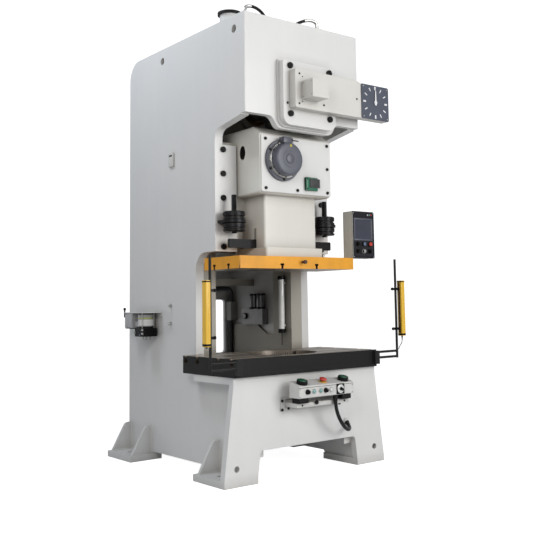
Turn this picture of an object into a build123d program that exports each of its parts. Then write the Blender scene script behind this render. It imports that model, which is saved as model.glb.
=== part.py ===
from build123d import *
from math import acos, atan2, cos, pi, radians, sin, tan
import os

os.makedirs("parts", exist_ok=True)

# Single crank stamping press with an open front, all sizes in millimetres.
# X points right seen from the front, Y points to the back and Z up.
# The origin lies on the floor, in the middle of the four anchor holes.

# Main sizes of the machine
crown_rise = 508.0               # from the crank's centre to the top
stroke = 160.0
die_height = 427.0
height_adjustment = 100.0
bolster_height = 804.0
press_line_depth = 295.0
crank_rise = 1226.0              # from the slide's face to the crank's centre
slip = 0.05                     # radial clearance of a running fit
seat_gap = 0.3                  # gap between sliding flat faces

# Plates of the frame
side_thickness = 65.0
front_thickness = 50.0
web_thickness = 50.0
rear_thickness = 30.0
plate_inset = 15.0
crown_overhang = 8.0
crown_drop = 186.0
crown_slope = 1 / 6
crown_lip_radius = 70.0
rear_corner_radius = 150.0
rear_top_gap = 25.0
lobe_drop = 268.0
lobe_half_width = 240.0
lobe_run = 50.0
lobe_radius = 60.0
lift_hole_radius = 28.0
lift_hole_drop = 95.0
lift_hole_depths = (116.0, 1094.0)
column_depth = 622.0
column_side_gap = 102.0
column_wall = 30.0
column_flange = 40.0
column_box_depth = 229.0
throat_radius = 120.0
window_side_gap = 76.0
window_drop = 64.0
window_height = 450.0
service_half_width = 300.0
service_drop = 287.0
service_rise = 233.0
louvre_count = 9
louvre_pitch = 44.0
louvre_drop = 610.0
rear_web_rise = 181.0
shelf_thickness = 30.0
lining_thickness = 20.0
lining_depths = (870.0, 1060.0, 1190.0, 1530.0)
lining_rise = 177.0
lining_step_drop = 76.0
tie_depth = 1254.0
tie_thickness = 30.0
tie_drop = 217.0
tie_height = 55.0

# Bed and feet
bed_thickness = 50.0
bed_overhang = 108.0
bed_top_thickness = 46.0
bed_corner_cut = 108.0
bed_flare_drop = 44.0
foot_thickness = 45.0
foot_length = 375.0
foot_overhang = 183.0
leg_set_in = 78.0
side_plate_lift = 60.0
arch_set_in = 21.0
arch_height = 205.0
arch_radius = 28.0
arch_block = (75.0, 90.0, 52.0)
leg_hole_radius = 20.0
leg_hole_edge = 95.0
leg_hole_height = 113.0
anchor_hole_radius = 20.0
anchor_edge = 92.0
gusset_thickness = 25.0
gusset_height = 247.0
gusset_base = 160.0
gusset_top = 48.0
gusset_radius = 40.0
bed_hole_radius = 210.0

# Bolster
bolster_side_reach = 5.0
bolster_depth = 650.0
bolster_thickness = 120.0
bolster_overhang = 29.0
blank_hole_radius = 250.0
bolster_slot_offsets = (132.0, 280.0)
slot_throat = 28.0
slot_head = 46.0
slot_head_height = 20.0
slot_depth = 48.0

# Guides
gib_depth = 365.0
gib_thickness = 50.0
gib_rise = 128.0
gib_height = 752.0
gib_width = 182.0
guide_side_gap = 22.0
guide_rear_depth = 540.0
rail_width = 112.0
rail_depth = 60.0
gib_bolt_edge = 67.0
gib_bolt_rise = 33.0
gib_bolt_pitch = 171.0
gib_bolt_count = 5
gib_bolt_radius = 21.0
gib_bolt_head = 14.0

# Knock-out stops
stop_edge = 102.0
stop_depth = 283.0
stop_rod_radius = 19.0
stop_rod_rise = 121.0
stop_rod_length = 269.0
stop_arm_rise = 193.0
stop_arm_thickness = 20.0
stop_arm_half_width = 84.0
stop_nut_radius = 78.0
stop_nut_height = 60.0

# Crankshaft and its bearings
journal_radius = 85.0
main_radius = 95.0
pin_radius = 95.0
cheek_radius = 125.0
cheek_thickness = 65.0
pin_length = 160.0
spigot_radius = 130.0
spigot_depth = 140.0
bush_wall = 25.0
bearing_boss_radius = 160.0
bearing_boss_depth = 20.0
stub_radius = 22.0
boss_half_width = 235.0
boss_drop = 247.0
boss_rise = 205.0
boss_thickness = 62.0
boss_step = 17.0
boss_radius = 60.0
boss_bolt_x = 177.0
boss_bolt_heights = (-169.0, 168.0)
boss_bolt_radius = 22.0
boss_bolt_head = 16.0

# Connecting rod and plunger
rod_big_radius = 150.0
rod_width = 150.0
rod_lug_reach = 172.0
rod_lug_height = 36.0
rod_shoulder = 104.0
rod_eye_radius = 62.0
rod_eye_width = 110.0
wrist_radius = 35.0
rod_length = 410.0
cap_bolt_x = 152.0
cap_bolt_radius = 14.0
fork_wall = 35.0
fork_gap = 5.0
fork_drop = 107.0
fork_base = 25.0
fork_left = 80.0
fork_rim = 40.0
follow_error = 17.5             # height that the opened pivot needs in mid stroke
screw_radius = 60.0

# Gears
gear_module = 10.0
gear_teeth = 78
pinion_teeth = 18
gear_width = 130.0
gear_front_gap = 29.7
gear_back_gap = 30.0
gear_rim = 45.0
gear_hub_radius = 150.0
gear_side_gap = 57.0
gear_web = 50.0
lightening_count = 6
lightening_radius = 62.0
pinion_shaft_radius = 50.0
clutch_gap = 8.0
shaft_overrun = 57.0
clutch_disc_radius = 170.0
clutch_disc_width = 40.0

# Flywheel, belts and motor
flywheel_side_gap = 47.0
flywheel_width = 170.0
flywheel_gap = 35.0
flywheel_rim = 60.0
flywheel_hub_radius = 130.0
flywheel_web = 60.0
pulley_radius = 95.0
motor_rise = 233.0
motor_radius = 150.0
motor_length = 350.0
motor_gap = 35.0
motor_rear_gap = 39.0
motor_shaft_radius = 24.0
motor_foot_drop = 175.0
motor_fin_count = 24
motor_fin_height = 12.0
belt_count = 4
belt_pitch = 38.0
belt_width = 22.0
belt_thickness = 14.0
groove_depth = 16.0

# Slide
slide_side_gap = 10.0
slide_front_depth = 96.0
slide_box_rise = 519.0
slide_box_height = 472.0
slide_rear_depth = 545.0
slide_chamfer = (86.0, 56.0)
neck_set_in = 88.0
neck_front_depth = 168.0
neck_radius = 18.0
flange_set_in = 65.0
flange_front_depth = 121.0
flange_rear_depth = 469.0
flange_height = 64.0
ear_rise = 169.0
ear_height = 740.0
cavity_half_width = 190.0
cavity_half_depth = 115.0
cavity_rise = 265.0
side_hole_size = (66.0, 102.0)
side_hole_depth = 302.0
side_hole_rise = 303.0
cover_thickness = 8.0
cover_margin = 8.0
cover_rise = 10.0
cover_height = 396.0
cover_screw_radius = 11.0
cover_screw_head = 9.0
cover_screw_edge = 34.0
cover_screw_rows = (25.0, 198.0, 370.0)
plate_set_in = 1.0
plate_front_depth = 76.0
plate_rear_depth = 514.0
plate_thickness = 85.0
plate_slot_throat = 18.0
plate_slot_head = 32.0
plate_slot_head_height = 14.0
plate_slot_depth = 36.0
plate_slot_x = 154.0
plate_slot_y = 87.0
shank_radius = 32.5
clamp_screw = (23.0, 47.0, 13.0, 14.0)

# Die height adjustment
adjust_x = -135.0
worm_pitch_radius = 30.0
wheel_teeth = 42
wheel_module = 5.0
wheel_width = 50.0
wheel_rise = 237.0
worm_length = 86.0
worm_shaft_radius = 18.0
adjust_flange_radius = 147.0
adjust_flange_thickness = 20.0
adjust_body_radius = 126.0
adjust_body_length = 96.0
adjust_boss_radius = 32.0
adjust_bolt_edge = 11.0
adjust_bolt_radius = 8.0
rotor_start = 66.0
rotor_end_gap = 4.0
adjust_box = (88.0, 62.0, 46.0)
lever_radius = 4.0
lever_pin_gap = 10.0
lever_pin_radius = 5.0
lever_eye = (9.0, 5.5)
lever_ear = (12.0, 14.0, 6.0)
lever_length = 62.0

# Counter and knock-out bar
counter_x = (65.0, 187.0)
counter_rise = 30.0
counter_height = 95.0
counter_thickness = 30.0
bar_half_length = 457.0
bar_thickness = 25.0
bar_height = 62.0
bar_slot_width = 26.0
bar_slot_height = 142.0

# Stroke indicator
case_left = -181.0
case_right = 702.0
case_drop = 135.0
case_rise = 135.0
case_step_rise = 121.0
case_step_x = (385.0, 429.0)
case_thickness = 65.0
case_wall = 4.0
dial_thickness = 6.0
dial_radius = 12.0
pointer_radius = 8.0
pointer_length = 92.0
pointer_thickness = 4.0
sprocket_radius = 55.0
encoder_x = (-122.0, 18.0)
encoder_heights = (-75.0, 52.0)
encoder_depth = 115.0
sheet = 3.0

# Two-hand control
control_x = 15.0
control_half_width = 237.0
control_front_depth = -172.0
control_depth = 105.0
control_drop = 152.0
control_front_height = 78.0
control_rear_height = 108.0
palm_spacing = 180.0
palm_radius = 30.0
palm_collar_height = 16.0
palm_cap_height = 22.0
stop_button_radius = 20.0
stem_radius = 8.0
stop_stem_radius = 7.0
stop_pad = (46.0, 4.0)
stop_cap_heights = (12.0, 26.0)
cam_switch = (100.0, 166.0, 34.0, 6.0)
selector_stem_radius = 5.0
foot_half_width = 38.0
knob_radius = 13.0
knob_height = 18.0
knob_x = -153.0
second_knob_x = 4.0
control_knob_rise = 39.0
lamp_x = (-98.0, -40.0, 53.0)
lamp_radius = 13.0
bracket_drop = 92.0
bracket_height = 90.0
bracket_sheet = 6.0
tray_depth = 130.0
control_foot_height = 17.0
cable_radius = 12.5
cable_start = (109.0, -148.0)
cable_last = (320.0, -54.0, 284.0)
cable_end = (326.0, -14.0, 312.0)
cable_gland = (19.0, 18.0)

# Light curtains
pole_reach = 194.0
pole_depth = -42.0
pole_radius = 9.0
pole_drop = 69.0
pole_length = 730.0
arm_drops = (58.0, 18.0)
bracket_block = (44.0, 25.0, 95.0)
curtain_width = 36.0
curtain_depth = 48.0
curtain_offset = 39.0
curtain_front = 18.0
curtain_rise = 91.0
curtain_length = 410.0
clamp_rises = (53.0, 348.0)
clamp_height = 18.0
curtain_gland = (6.0, 10.0)
curtain_cable_radius = 2.5

# Touch panel and its arm
panel_gap = 138.0
panel_width = 231.0
panel_depths = (236.0, 340.0)
panel_drop = 33.0
panel_height = 364.0
panel_radius = 10.0
screen_half_width = 85.0
screen_drops = (215.0, 65.0)
screen_recess = 4.0
panel_knob_rises = (55.0, 110.0)
panel_knob_pitch = 62.0
panel_knob_height = 16.0
arm_post = (40.0, 470.0)
arm_riser = (178.0, 322.0)
arm_drop = 89.0
arm_radius = 15.0
arm_pin_radius = 12.0
arm_bend = 40.0
lug_rises = (41.0, 121.0)
lug_thickness = 16.0

# Fittings
lube_y = (1100.0, 1490.0)
lube_bracket_z = (1097.0, 1122.0)
lube_bracket_reach = 120.0
reservoir = (1218.0, 58.0, 985.0)
lube_base = (1150.0, 1292.0, 922.0)
lube_motor = (1357.0, 1480.0, 985.0, 1097.0)
lube_lever_y = 1500.0
lube_lever_length = 62.0
lube_gap = 72.0
lube_half_widths = (55.0, 42.0, 20.0)
lube_outlet_x = (-30.0, 0.0, 30.0)
lube_outlet_radius = 7.0
lube_outlet_length = 26.0
lube_pin_drop = 30.0
lube_pin_radius = 4.0
tube_gap = 33.0
tube_depth = 701.0
tube_rise = 146.0
tube_length = 389.0
tube_radius = 23.0
tube_cap_radius = 28.0
tube_cap_length = 26.0
tube_clip = (9.0, 7.0, 30.0)
tube_lead = (3.0, 94.0)
air_depths = (1057.0, 1343.0)
air_reach = 62.0
air_rise = 177.0
air_height = 128.0
air_bowl_depths = (1107.0, 1203.0)
air_bowl_radius = 34.0
air_bowl_height = 125.0
junction_width = 60.0
junction_gap = 7.0
junction_rise = 208.0
junction_height = 160.0
junction_conduit_rise = 112.0
junction_depth = 76.0
conduit_radius = 19.0
vent_edge = 167.0
vent_depth = 505.0
vent_radius = 75.0
vent_height = 186.0
vent_rim_radius = 90.0
vent_rim_height = 20.0
vent_flange = 22.0
hose_radius = 11.0
hose_fitting = (20.0, 34.0)
hose_depth = 120.0
hose_ends = (-420.0, 238.0)

# Places worked out from the sizes above: heights from the bolster up to the crown
slide_face = bolster_height + die_height + stroke
crank_height = slide_face + crank_rise
frame_height = crank_height + crown_rise
bed_top = bolster_height - bolster_thickness
bed_flare_height = bed_top - bed_flare_drop
window_low = bolster_height - window_drop
window_high = window_low + window_height
plate_top = slide_face + plate_thickness
bar_slot_high = plate_top + flange_height + bar_slot_height
gib_low = slide_face + gib_rise
gib_high = gib_low + gib_height
junction_low = bolster_height + junction_rise
junction_z = (junction_low, junction_low + junction_height)
air_low = bolster_height + air_rise
air_z = (air_low, air_low + air_height)
lining_high = bolster_height + lining_rise
lining_step = lining_high - lining_step_drop
tie_low = gib_low - tie_drop
gib_bolt_low = gib_low + gib_bolt_rise
rear_web_low = gib_low + rear_web_rise
panel_z = (gib_low - panel_drop, gib_low - panel_drop + panel_height)
arm_height = gib_low - arm_drop
lug_heights = [gib_low + rise for rise in lug_rises]
stop_rod_low = gib_low + stop_rod_rise
stop_arm_z = gib_low + stop_arm_rise
slide_low = slide_face + slide_box_rise
slide_high = slide_low + slide_box_height
ear_low = slide_face + ear_rise
ear_high = ear_low + ear_height
cavity_low = slide_low + cavity_rise
side_hole_height = slide_low + side_hole_rise
wheel_height = slide_low + wheel_rise
cover_low = slide_low + cover_rise
cover_high = cover_low + cover_height
counter_low = cover_low + counter_rise
crank_throw = stroke / 2
pin_height = crank_height + crank_throw
wrist_height = pin_height - rod_length
fork_low = wrist_height - fork_drop
gear_distance = gear_module * (gear_teeth + pinion_teeth) / 2
drive_height = crank_height - gear_distance
motor_height = crank_height + motor_rise
crown_bottom = crank_height - crown_drop
lobe_bottom = crank_height - lobe_drop
boss_low = crank_height - boss_drop
boss_high = crank_height + boss_rise
boss_bolt_z = [crank_height + height for height in boss_bolt_heights]
case_low = crank_height - case_drop
case_high = crank_height + case_rise
case_step = crank_height + case_step_rise
case_height = (case_low + case_step) / 2
encoder_z = [crank_height + height for height in encoder_heights]
service_low = crank_height - service_drop
service_high = crank_height + service_rise
louvre_low = service_low - louvre_drop
lift_hole_height = frame_height - lift_hole_drop
top_outer = frame_height - plate_inset
top_inner = top_outer - rear_thickness
rear_top = frame_height - rear_corner_radius - rear_top_gap
control_low = bed_top - control_drop
control_front_high = control_low + control_front_height
control_rear_high = control_low + control_rear_height
control_knob_z = control_low + control_knob_rise
tray_high = control_low - control_foot_height
bracket_low = control_low - bracket_drop
bracket_high = bracket_low + bracket_height
pole_low = bolster_height - pole_drop
arm_heights = [bolster_height - drop for drop in arm_drops]
curtain_low = bolster_height + curtain_rise
curtain_high = curtain_low + curtain_length
clamp_heights = [curtain_low + rise for rise in clamp_rises]

# Depths from the front of the bed, through guides, gears, flywheel and motor to the rear plate
gear_depth = (guide_rear_depth + seat_gap + rail_depth + web_thickness
              + bearing_boss_depth + gear_front_gap)
rear_web_depth = gear_depth + gear_width + gear_back_gap + bearing_boss_depth
flywheel_depth = rear_web_depth + web_thickness + bearing_boss_depth + flywheel_gap
motor_depth = flywheel_depth + flywheel_width + motor_gap
frame_depth = motor_depth + motor_length + motor_rear_gap + rear_thickness + plate_inset
bed_face = -frame_depth / 2
rear_face = frame_depth / 2
press_y = bed_face + press_line_depth
bed_back = bed_face + bed_thickness
column_face = bed_face + column_depth
gib_face = bed_face + gib_depth
gib_back = gib_face + gib_thickness
crown_face = bed_face - crown_overhang
crown_back = crown_face + front_thickness
pin_front = press_y - pin_length / 2
pin_rear = press_y + pin_length / 2
guide_rear = bed_face + guide_rear_depth
web_front = guide_rear + seat_gap + rail_depth
web_back = web_front + web_thickness
rear_web_front = bed_face + rear_web_depth
rear_web_back = rear_web_front + web_thickness
rear_outer = rear_face - plate_inset
rear_inner = rear_outer - rear_thickness
boss_face = crown_face - boss_thickness
case_front = boss_face - case_thickness

# Widths from the side plates inwards and outwards
frame_width = gear_module * gear_teeth + 2 * (gear_side_gap + side_thickness)
side_outer = frame_width / 2
side_inner = side_outer - side_thickness
flywheel_radius = side_inner - flywheel_side_gap
column_inner = side_inner - column_side_gap
window_half_width = side_inner - window_side_gap
gib_inner = side_outer - gib_width
gib_bolt_x = side_outer - gib_bolt_edge
stop_x = side_outer - stop_edge
guide_half_width = side_inner - guide_side_gap
rail_inner = side_inner - rail_width
slide_half_width = gib_inner - slide_side_gap
cover_half_width = slide_half_width - cover_margin
neck_half_width = slide_half_width - neck_set_in
flange_half_width = slide_half_width - flange_set_in
plate_half_width = side_outer - plate_set_in
bed_half_width = side_outer + bed_overhang
foot_reach = side_outer + foot_overhang
leg_inner = side_outer - leg_set_in
arch_half_width = leg_inner - arch_set_in
anchor_x = foot_reach - anchor_edge
leg_hole_x = foot_reach - leg_hole_edge
bolster_width = 2 * (bed_half_width + bolster_side_reach)
pole_x = bolster_width / 2 + pole_reach
panel_x = (side_outer + panel_gap, side_outer + panel_gap + panel_width)
vent_x = vent_edge - side_inner
tube_x = column_inner - tube_gap
junction_x = (side_inner - junction_gap - junction_width, side_inner - junction_gap)
dial_x = (case_step_x[1] + case_right) / 2


def front_view(y, x=0, z=0):
    """Plane seen from the front, X right and Z up. Extruding runs forward from y."""
    return Plane(origin=(x, y, z), x_dir=(1, 0, 0), z_dir=(0, -1, 0))


def side_view(x):
    """Plane seen from the left rear, Y and Z. Extruding runs to the right from x."""
    return Plane.YZ.offset(x)


def block(x, y, z, mode=Mode.ADD):
    """Box between two corners, each side given as a low and a high value."""
    with Locations(((x[0] + x[1]) / 2, (y[0] + y[1]) / 2, (z[0] + z[1]) / 2)):
        Box(x[1] - x[0], y[1] - y[0], z[1] - z[0], mode=mode)


def round_x(y, z, x, radius, mode=Mode.ADD):
    """Cylinder along X through (y, z) between two values of x."""
    with Locations(Location(((x[0] + x[1]) / 2, y, z), (0, 90, 0))):
        Cylinder(radius, x[1] - x[0], mode=mode)


def round_y(x, z, y, radius, mode=Mode.ADD):
    """Cylinder along Y through (x, z) between two values of y."""
    with Locations(Location((x, (y[0] + y[1]) / 2, z), (90, 0, 0))):
        Cylinder(radius, y[1] - y[0], mode=mode)


def round_z(x, y, z, radius, mode=Mode.ADD):
    """Cylinder along Z through (x, y) between two values of z."""
    with Locations((x, y, (z[0] + z[1]) / 2)):
        Cylinder(radius, z[1] - z[0], mode=mode)


def hex_socket(x, z, front, radius, depth):
    """Cut the hexagon socket of a screw whose head faces the front."""
    with BuildSketch(front_view(front + depth)) as socket:
        with Locations((x, z)):
            RegularPolygon(0.48 * radius, 6)
    extrude(socket.sketch, amount=depth, mode=Mode.SUBTRACT)


def involute(angle):
    return tan(angle) - angle


def gear_points(teeth, module, first_tooth, play=0.04):
    """Corner points of a spur gear, six to a tooth. first_tooth is a tooth's angle in degrees."""
    pitch = module * teeth / 2
    base = pitch * cos(radians(20))
    points = []
    for tooth in range(teeth):
        middle = radians(first_tooth) + 2 * pi * tooth / teeth
        for side in (-1, 1):
            radii = (pitch - 1.2 * module, pitch, pitch + 0.95 * module)
            for radius in radii if side < 0 else radii[::-1]:
                spread = involute(acos(base / max(radius, base)))
                half = pi / (2 * teeth) * (1 - play) + involute(radians(20)) - spread
                points.append((radius * cos(middle + side * half), radius * sin(middle + side * half)))
    return points


def tee_slot(along, place, length, top, throat, head, head_height, depth):
    """Cut a T slot downwards from height top, along X or Y at the given place."""
    sides = ((length[0], length[1]), (place - throat / 2, place + throat / 2))
    heads = ((length[0], length[1]), (place - head / 2, place + head / 2))
    if along == "y":
        sides, heads = sides[::-1], heads[::-1]
    low = top - depth
    block(sides[0], sides[1], (min(top, low), max(top, low)), mode=Mode.SUBTRACT)
    inner = low + head_height if depth > 0 else low - head_height
    block(heads[0], heads[1], (min(low, inner), max(low, inner)), mode=Mode.SUBTRACT)


# Side plates: one flame-cut plate each side, with the crown, throat and column in its outline
side_outline = [
    (bed_back, foot_thickness),
    (bed_back, bed_top - bed_top_thickness),
    (column_face, bed_top - bed_top_thickness),
    (column_face, gib_low),
    (gib_back, gib_low),
    (gib_back, gib_high),
    (gib_face, gib_high),
    (gib_face, crown_bottom - crown_slope * (gib_face - crown_face)),
    (crown_back, crown_bottom - crown_slope * (crown_back - crown_face)),
    (crown_back, frame_height),
    (rear_face, frame_height),
    (rear_face, foot_thickness),
    (rear_face - foot_length, foot_thickness),
    (rear_face - foot_length - plate_inset, side_plate_lift),
    (bed_face + foot_length + plate_inset, side_plate_lift),
    (bed_face + foot_length, foot_thickness),
]
side_radii = [0, 0, 0, throat_radius, 0, 0, 0, crown_lip_radius, 0, 0, rear_corner_radius, 0, 0, 0, 0, 0]


def side_plate_body(x):
    """Side plate whose left face stands at x."""
    with BuildPart() as plate:
        with BuildSketch(side_view(x)):
            with BuildLine():
                FilletPolyline(*side_outline, radius=side_radii, close=True)
            make_face()
            with Locations(*[(bed_face + depth, lift_hole_height) for depth in lift_hole_depths]):
                Circle(lift_hole_radius, mode=Mode.SUBTRACT)
        extrude(amount=side_thickness)
    return plate


side_plate_left = side_plate_body(-side_outer)
side_plate_left.part.label = "side_plate_left"
export_step(side_plate_left.part, "parts/side_plate_left.step")

# The right plate also carries the two welded lugs of the panel arm
post_x, post_y = side_outer + arm_post[0], bed_face + arm_post[1]
with BuildPart() as side_plate_right:
    add(side_plate_body(side_inner).part)
    for height in lug_heights:
        with BuildSketch(Plane.XY.offset(height - lug_thickness / 2)):
            with Locations(((side_outer + post_x) / 2, post_y)):
                Rectangle(post_x - side_outer, 2 * arm_radius + 14)
            with Locations((post_x, post_y)):
                Circle(arm_radius + 7)
                Circle(arm_pin_radius + slip, mode=Mode.SUBTRACT)
        extrude(amount=lug_thickness)
side_plate_right.part.label = "side_plate_right"
export_step(side_plate_right.part, "parts/side_plate_right.step")

# Crown front plate, with the round lobe under the crank bearing
with BuildPart() as crown_front_plate:
    with BuildSketch(front_view(crown_back)):
        with BuildLine():
            FilletPolyline(
                (-side_outer, crown_bottom),
                (-lobe_half_width - lobe_run, crown_bottom),
                (-lobe_half_width, lobe_bottom),
                (lobe_half_width, lobe_bottom),
                (lobe_half_width + lobe_run, crown_bottom),
                (side_outer, crown_bottom),
                (side_outer, frame_height),
                (-side_outer, frame_height),
                radius=[0, lobe_radius, lobe_radius, lobe_radius, lobe_radius, 0, 0, 0],
                close=True,
            )
        make_face()
        with Locations((0, crank_height)):
            Circle(spigot_radius, mode=Mode.SUBTRACT)
    extrude(amount=front_thickness)
    front_corners = crown_front_plate.faces().sort_by(Axis.Y)[0].edges().filter_by(Axis.Z)
    fillet(front_corners, 8)
crown_front_plate.part.label = "crown_front_plate"
export_step(crown_front_plate.part, "parts/crown_front_plate.step")

# Crown top plate, bent down at the back, with the sockets of the roof hose
vent_y = bed_face + vent_depth
hose_y = bed_face + hose_depth
with BuildPart() as crown_top_plate:
    with BuildSketch(side_view(-side_inner)):
        with BuildLine():
            FilletPolyline(
                (crown_back, top_outer),
                (rear_outer, top_outer),
                (rear_outer, rear_top),
                (rear_inner, rear_top),
                (rear_inner, top_inner),
                (crown_back, top_inner),
                radius=[0, rear_corner_radius - plate_inset, 0, 0,
                        rear_corner_radius - plate_inset - rear_thickness, 0],
                close=True,
            )
        make_face()
    extrude(amount=2 * side_inner)
    round_z(vent_x, vent_y, (top_inner - 1, top_outer + 1), vent_radius - sheet, mode=Mode.SUBTRACT)
    for end in hose_ends:
        round_z(end, hose_y, (top_outer, top_outer + hose_fitting[1]), hose_fitting[0])
crown_top_plate.part.label = "crown_top_plate"
export_step(crown_top_plate.part, "parts/crown_top_plate.step")

# Inner plates: two webs that carry the shafts, the motor shelf, the angles of the throat, the
# linings behind them and the tie between the side plates
main_bore = main_radius + bush_wall
pinion_bore = pinion_shaft_radius + bush_wall
with BuildPart() as inner_plates:
    for back, low in ((web_back, gib_low), (rear_web_back, rear_web_low)):
        block((-side_inner, side_inner), (back - web_thickness, back), (low, top_inner))
        boss = (back - web_thickness - bearing_boss_depth, back + bearing_boss_depth)
        round_y(0, crank_height, boss, bearing_boss_radius)
        round_y(0, drive_height, boss, bearing_boss_radius - 40)
        round_y(0, crank_height, (boss[0] - 1, boss[1] + 1), main_bore, mode=Mode.SUBTRACT)
        round_y(0, drive_height, (boss[0] - 1, boss[1] + 1), pinion_bore, mode=Mode.SUBTRACT)
    shelf_top = motor_height - motor_foot_drop
    block((-side_inner, side_inner), (bed_face + motor_depth, rear_inner),
          (shelf_top - shelf_thickness, shelf_top))
    for side in (-1, 1):
        with BuildSketch(Plane.XY.offset(side_plate_lift)):
            with BuildLine():
                Polyline(
                    (side * column_inner, column_face),
                    (side * side_inner, column_face),
                    (side * side_inner, column_face + column_flange),
                    (side * (column_inner + column_wall), column_face + column_flange),
                    (side * (column_inner + column_wall), column_face + column_box_depth),
                    (side * column_inner, column_face + column_box_depth),
                    close=True,
                )
            make_face()
        extrude(amount=gib_low - side_plate_lift)
    lining_y = [bed_face + depth for depth in lining_depths]
    for left in (-side_inner, side_inner - lining_thickness):
        with BuildSketch(side_view(left)):
            with BuildLine():
                FilletPolyline(
                    (lining_y[0], bed_top - bed_top_thickness),
                    (lining_y[0], lining_step),
                    (lining_y[1], lining_step),
                    (lining_y[2], lining_high),
                    (lining_y[3], lining_high),
                    (lining_y[3], bed_top - bed_top_thickness),
                    radius=[0, 0, 50, 50, 0, 0],
                    close=True,
                )
            make_face()
        extrude(amount=lining_thickness)
    block((-side_inner, side_inner), (bed_face + tie_depth, bed_face + tie_depth + tie_thickness),
          (tie_low, tie_low + tie_height))
inner_plates.part.label = "inner_plates"
export_step(inner_plates.part, "parts/inner_plates.step")

# Rear plate, with the window through the throat, cooling slots and the service opening
with BuildPart() as rear_plate:
    with BuildSketch(front_view(rear_outer)):
        with BuildLine():
            Polyline(
                (-side_inner, side_plate_lift),
                (side_inner, side_plate_lift),
                (side_inner, rear_top),
                (-side_inner, rear_top),
                close=True,
            )
        make_face()
        with Locations((0, (window_low + window_high) / 2)):
            RectangleRounded(2 * window_half_width, window_high - window_low, 30, mode=Mode.SUBTRACT)
        with Locations((0, (service_low + service_high) / 2)):
            RectangleRounded(2 * service_half_width, service_high - service_low, 30, mode=Mode.SUBTRACT)
        with GridLocations(0, louvre_pitch, 1, louvre_count):
            with Locations((0, louvre_low + louvre_pitch * louvre_count / 2)):
                SlotOverall(1.2 * service_half_width, 14, mode=Mode.SUBTRACT)
    extrude(amount=rear_thickness)
rear_plate.part.label = "rear_plate"
export_step(rear_plate.part, "parts/rear_plate.step")

# Bed front plate, flared towards the floor, with the arch between its legs
with BuildPart() as bed_front_plate:
    with BuildSketch(front_view(bed_back)):
        with BuildLine():
            FilletPolyline(
                (-foot_reach, foot_thickness),
                (-leg_inner, foot_thickness),
                (-arch_half_width, arch_height),
                (arch_half_width, arch_height),
                (leg_inner, foot_thickness),
                (foot_reach, foot_thickness),
                (bed_half_width, bed_flare_height),
                (bed_half_width, bed_top),
                (-bed_half_width, bed_top),
                (-bed_half_width, bed_flare_height),
                radius=[0, 0, arch_radius, arch_radius, 0, 0, 0, 0, 0, 0],
                close=True,
            )
        make_face()
        with Locations((-leg_hole_x, leg_hole_height), (leg_hole_x, leg_hole_height)):
            Circle(leg_hole_radius, mode=Mode.SUBTRACT)
    extrude(amount=bed_thickness)
    gland_face = Vector(cable_end[0], bed_face + cable_end[1], cable_end[2])
    with BuildSketch(Plane(origin=gland_face, z_dir=Vector(*cable_end) - Vector(*cable_last))):
        Circle(cable_gland[0])
    extrude(amount=2 * cable_gland[1])
    for side in (-1, 1):
        outer = side * arch_half_width * 1.04
        inner = outer - side * arch_block[0]
        block((min(outer, inner), max(outer, inner)), (bed_back, bed_back + arch_block[1]),
              (arch_height - arch_block[2], arch_height + 20))
bed_front_plate.part.label = "bed_front_plate"
export_step(bed_front_plate.part, "parts/bed_front_plate.step")

# Bed top plate, with its cut rear corners and the hole for blanks
with BuildPart() as bed_top_plate:
    with BuildSketch(Plane.XY.offset(bed_top - bed_top_thickness)):
        with BuildLine():
            Polyline(
                (-bed_half_width, bed_back),
                (bed_half_width, bed_back),
                (bed_half_width, column_face - bed_corner_cut - 33),
                (bed_half_width - bed_corner_cut, column_face),
                (-bed_half_width + bed_corner_cut, column_face),
                (-bed_half_width, column_face - bed_corner_cut - 33),
                close=True,
            )
        make_face()
        with Locations((0, press_y)):
            Circle(bed_hole_radius, mode=Mode.SUBTRACT)
    extrude(amount=bed_top_thickness)
bed_top_plate.part.label = "bed_top_plate"
export_step(bed_top_plate.part, "parts/bed_top_plate.step")

# Four feet: a pad with its anchor hole and the gussets that stiffen it
with BuildPart() as feet:
    for side in (-1, 1):
        for front, back, ribs in (
            (bed_face, bed_face + foot_length, (bed_face + foot_length - 45,)),
            (rear_face - foot_length, rear_face, (rear_face - foot_length + 20, rear_face - 40)),
        ):
            x_range = sorted((side * leg_inner, side * foot_reach))
            block(x_range, (front, back), (0, foot_thickness))
            round_z(side * anchor_x, (front + back) / 2, (-1, foot_thickness + 1),
                    anchor_hole_radius, mode=Mode.SUBTRACT)
            for rib in ribs:
                with BuildSketch(front_view(rib + gusset_thickness)):
                    with BuildLine():
                        FilletPolyline(
                            (side * side_outer, foot_thickness),
                            (side * (side_outer + gusset_base), foot_thickness),
                            (side * (side_outer + gusset_top), gusset_height),
                            (side * side_outer, gusset_height),
                            radius=[0, 0, gusset_radius, 0],
                            close=True,
                        )
                    make_face()
                extrude(amount=gusset_thickness)
feet.part.label = "feet"
export_step(feet.part, "parts/feet.step")

# Bolster with its T slots and the opening that blanks fall through
bolster_front = bed_face - bolster_overhang
with BuildPart() as bolster:
    block((-bolster_width / 2, bolster_width / 2), (bolster_front, bolster_front + bolster_depth),
          (bed_top, bolster_height))
    fillet(bolster.edges().filter_by(Axis.Z), 12)
    for shift in bolster_slot_offsets:
        for place in (press_y - shift, press_y + shift):
            tee_slot("x", place, (-bolster_width / 2 - 1, bolster_width / 2 + 1), bolster_height,
                     slot_throat, slot_head, slot_head_height, slot_depth)
    round_z(0, press_y, (bed_top - 1, bolster_height + 1), blank_hole_radius, mode=Mode.SUBTRACT)
bolster.part.label = "bolster"
export_step(bolster.part, "parts/bolster.step")

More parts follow.
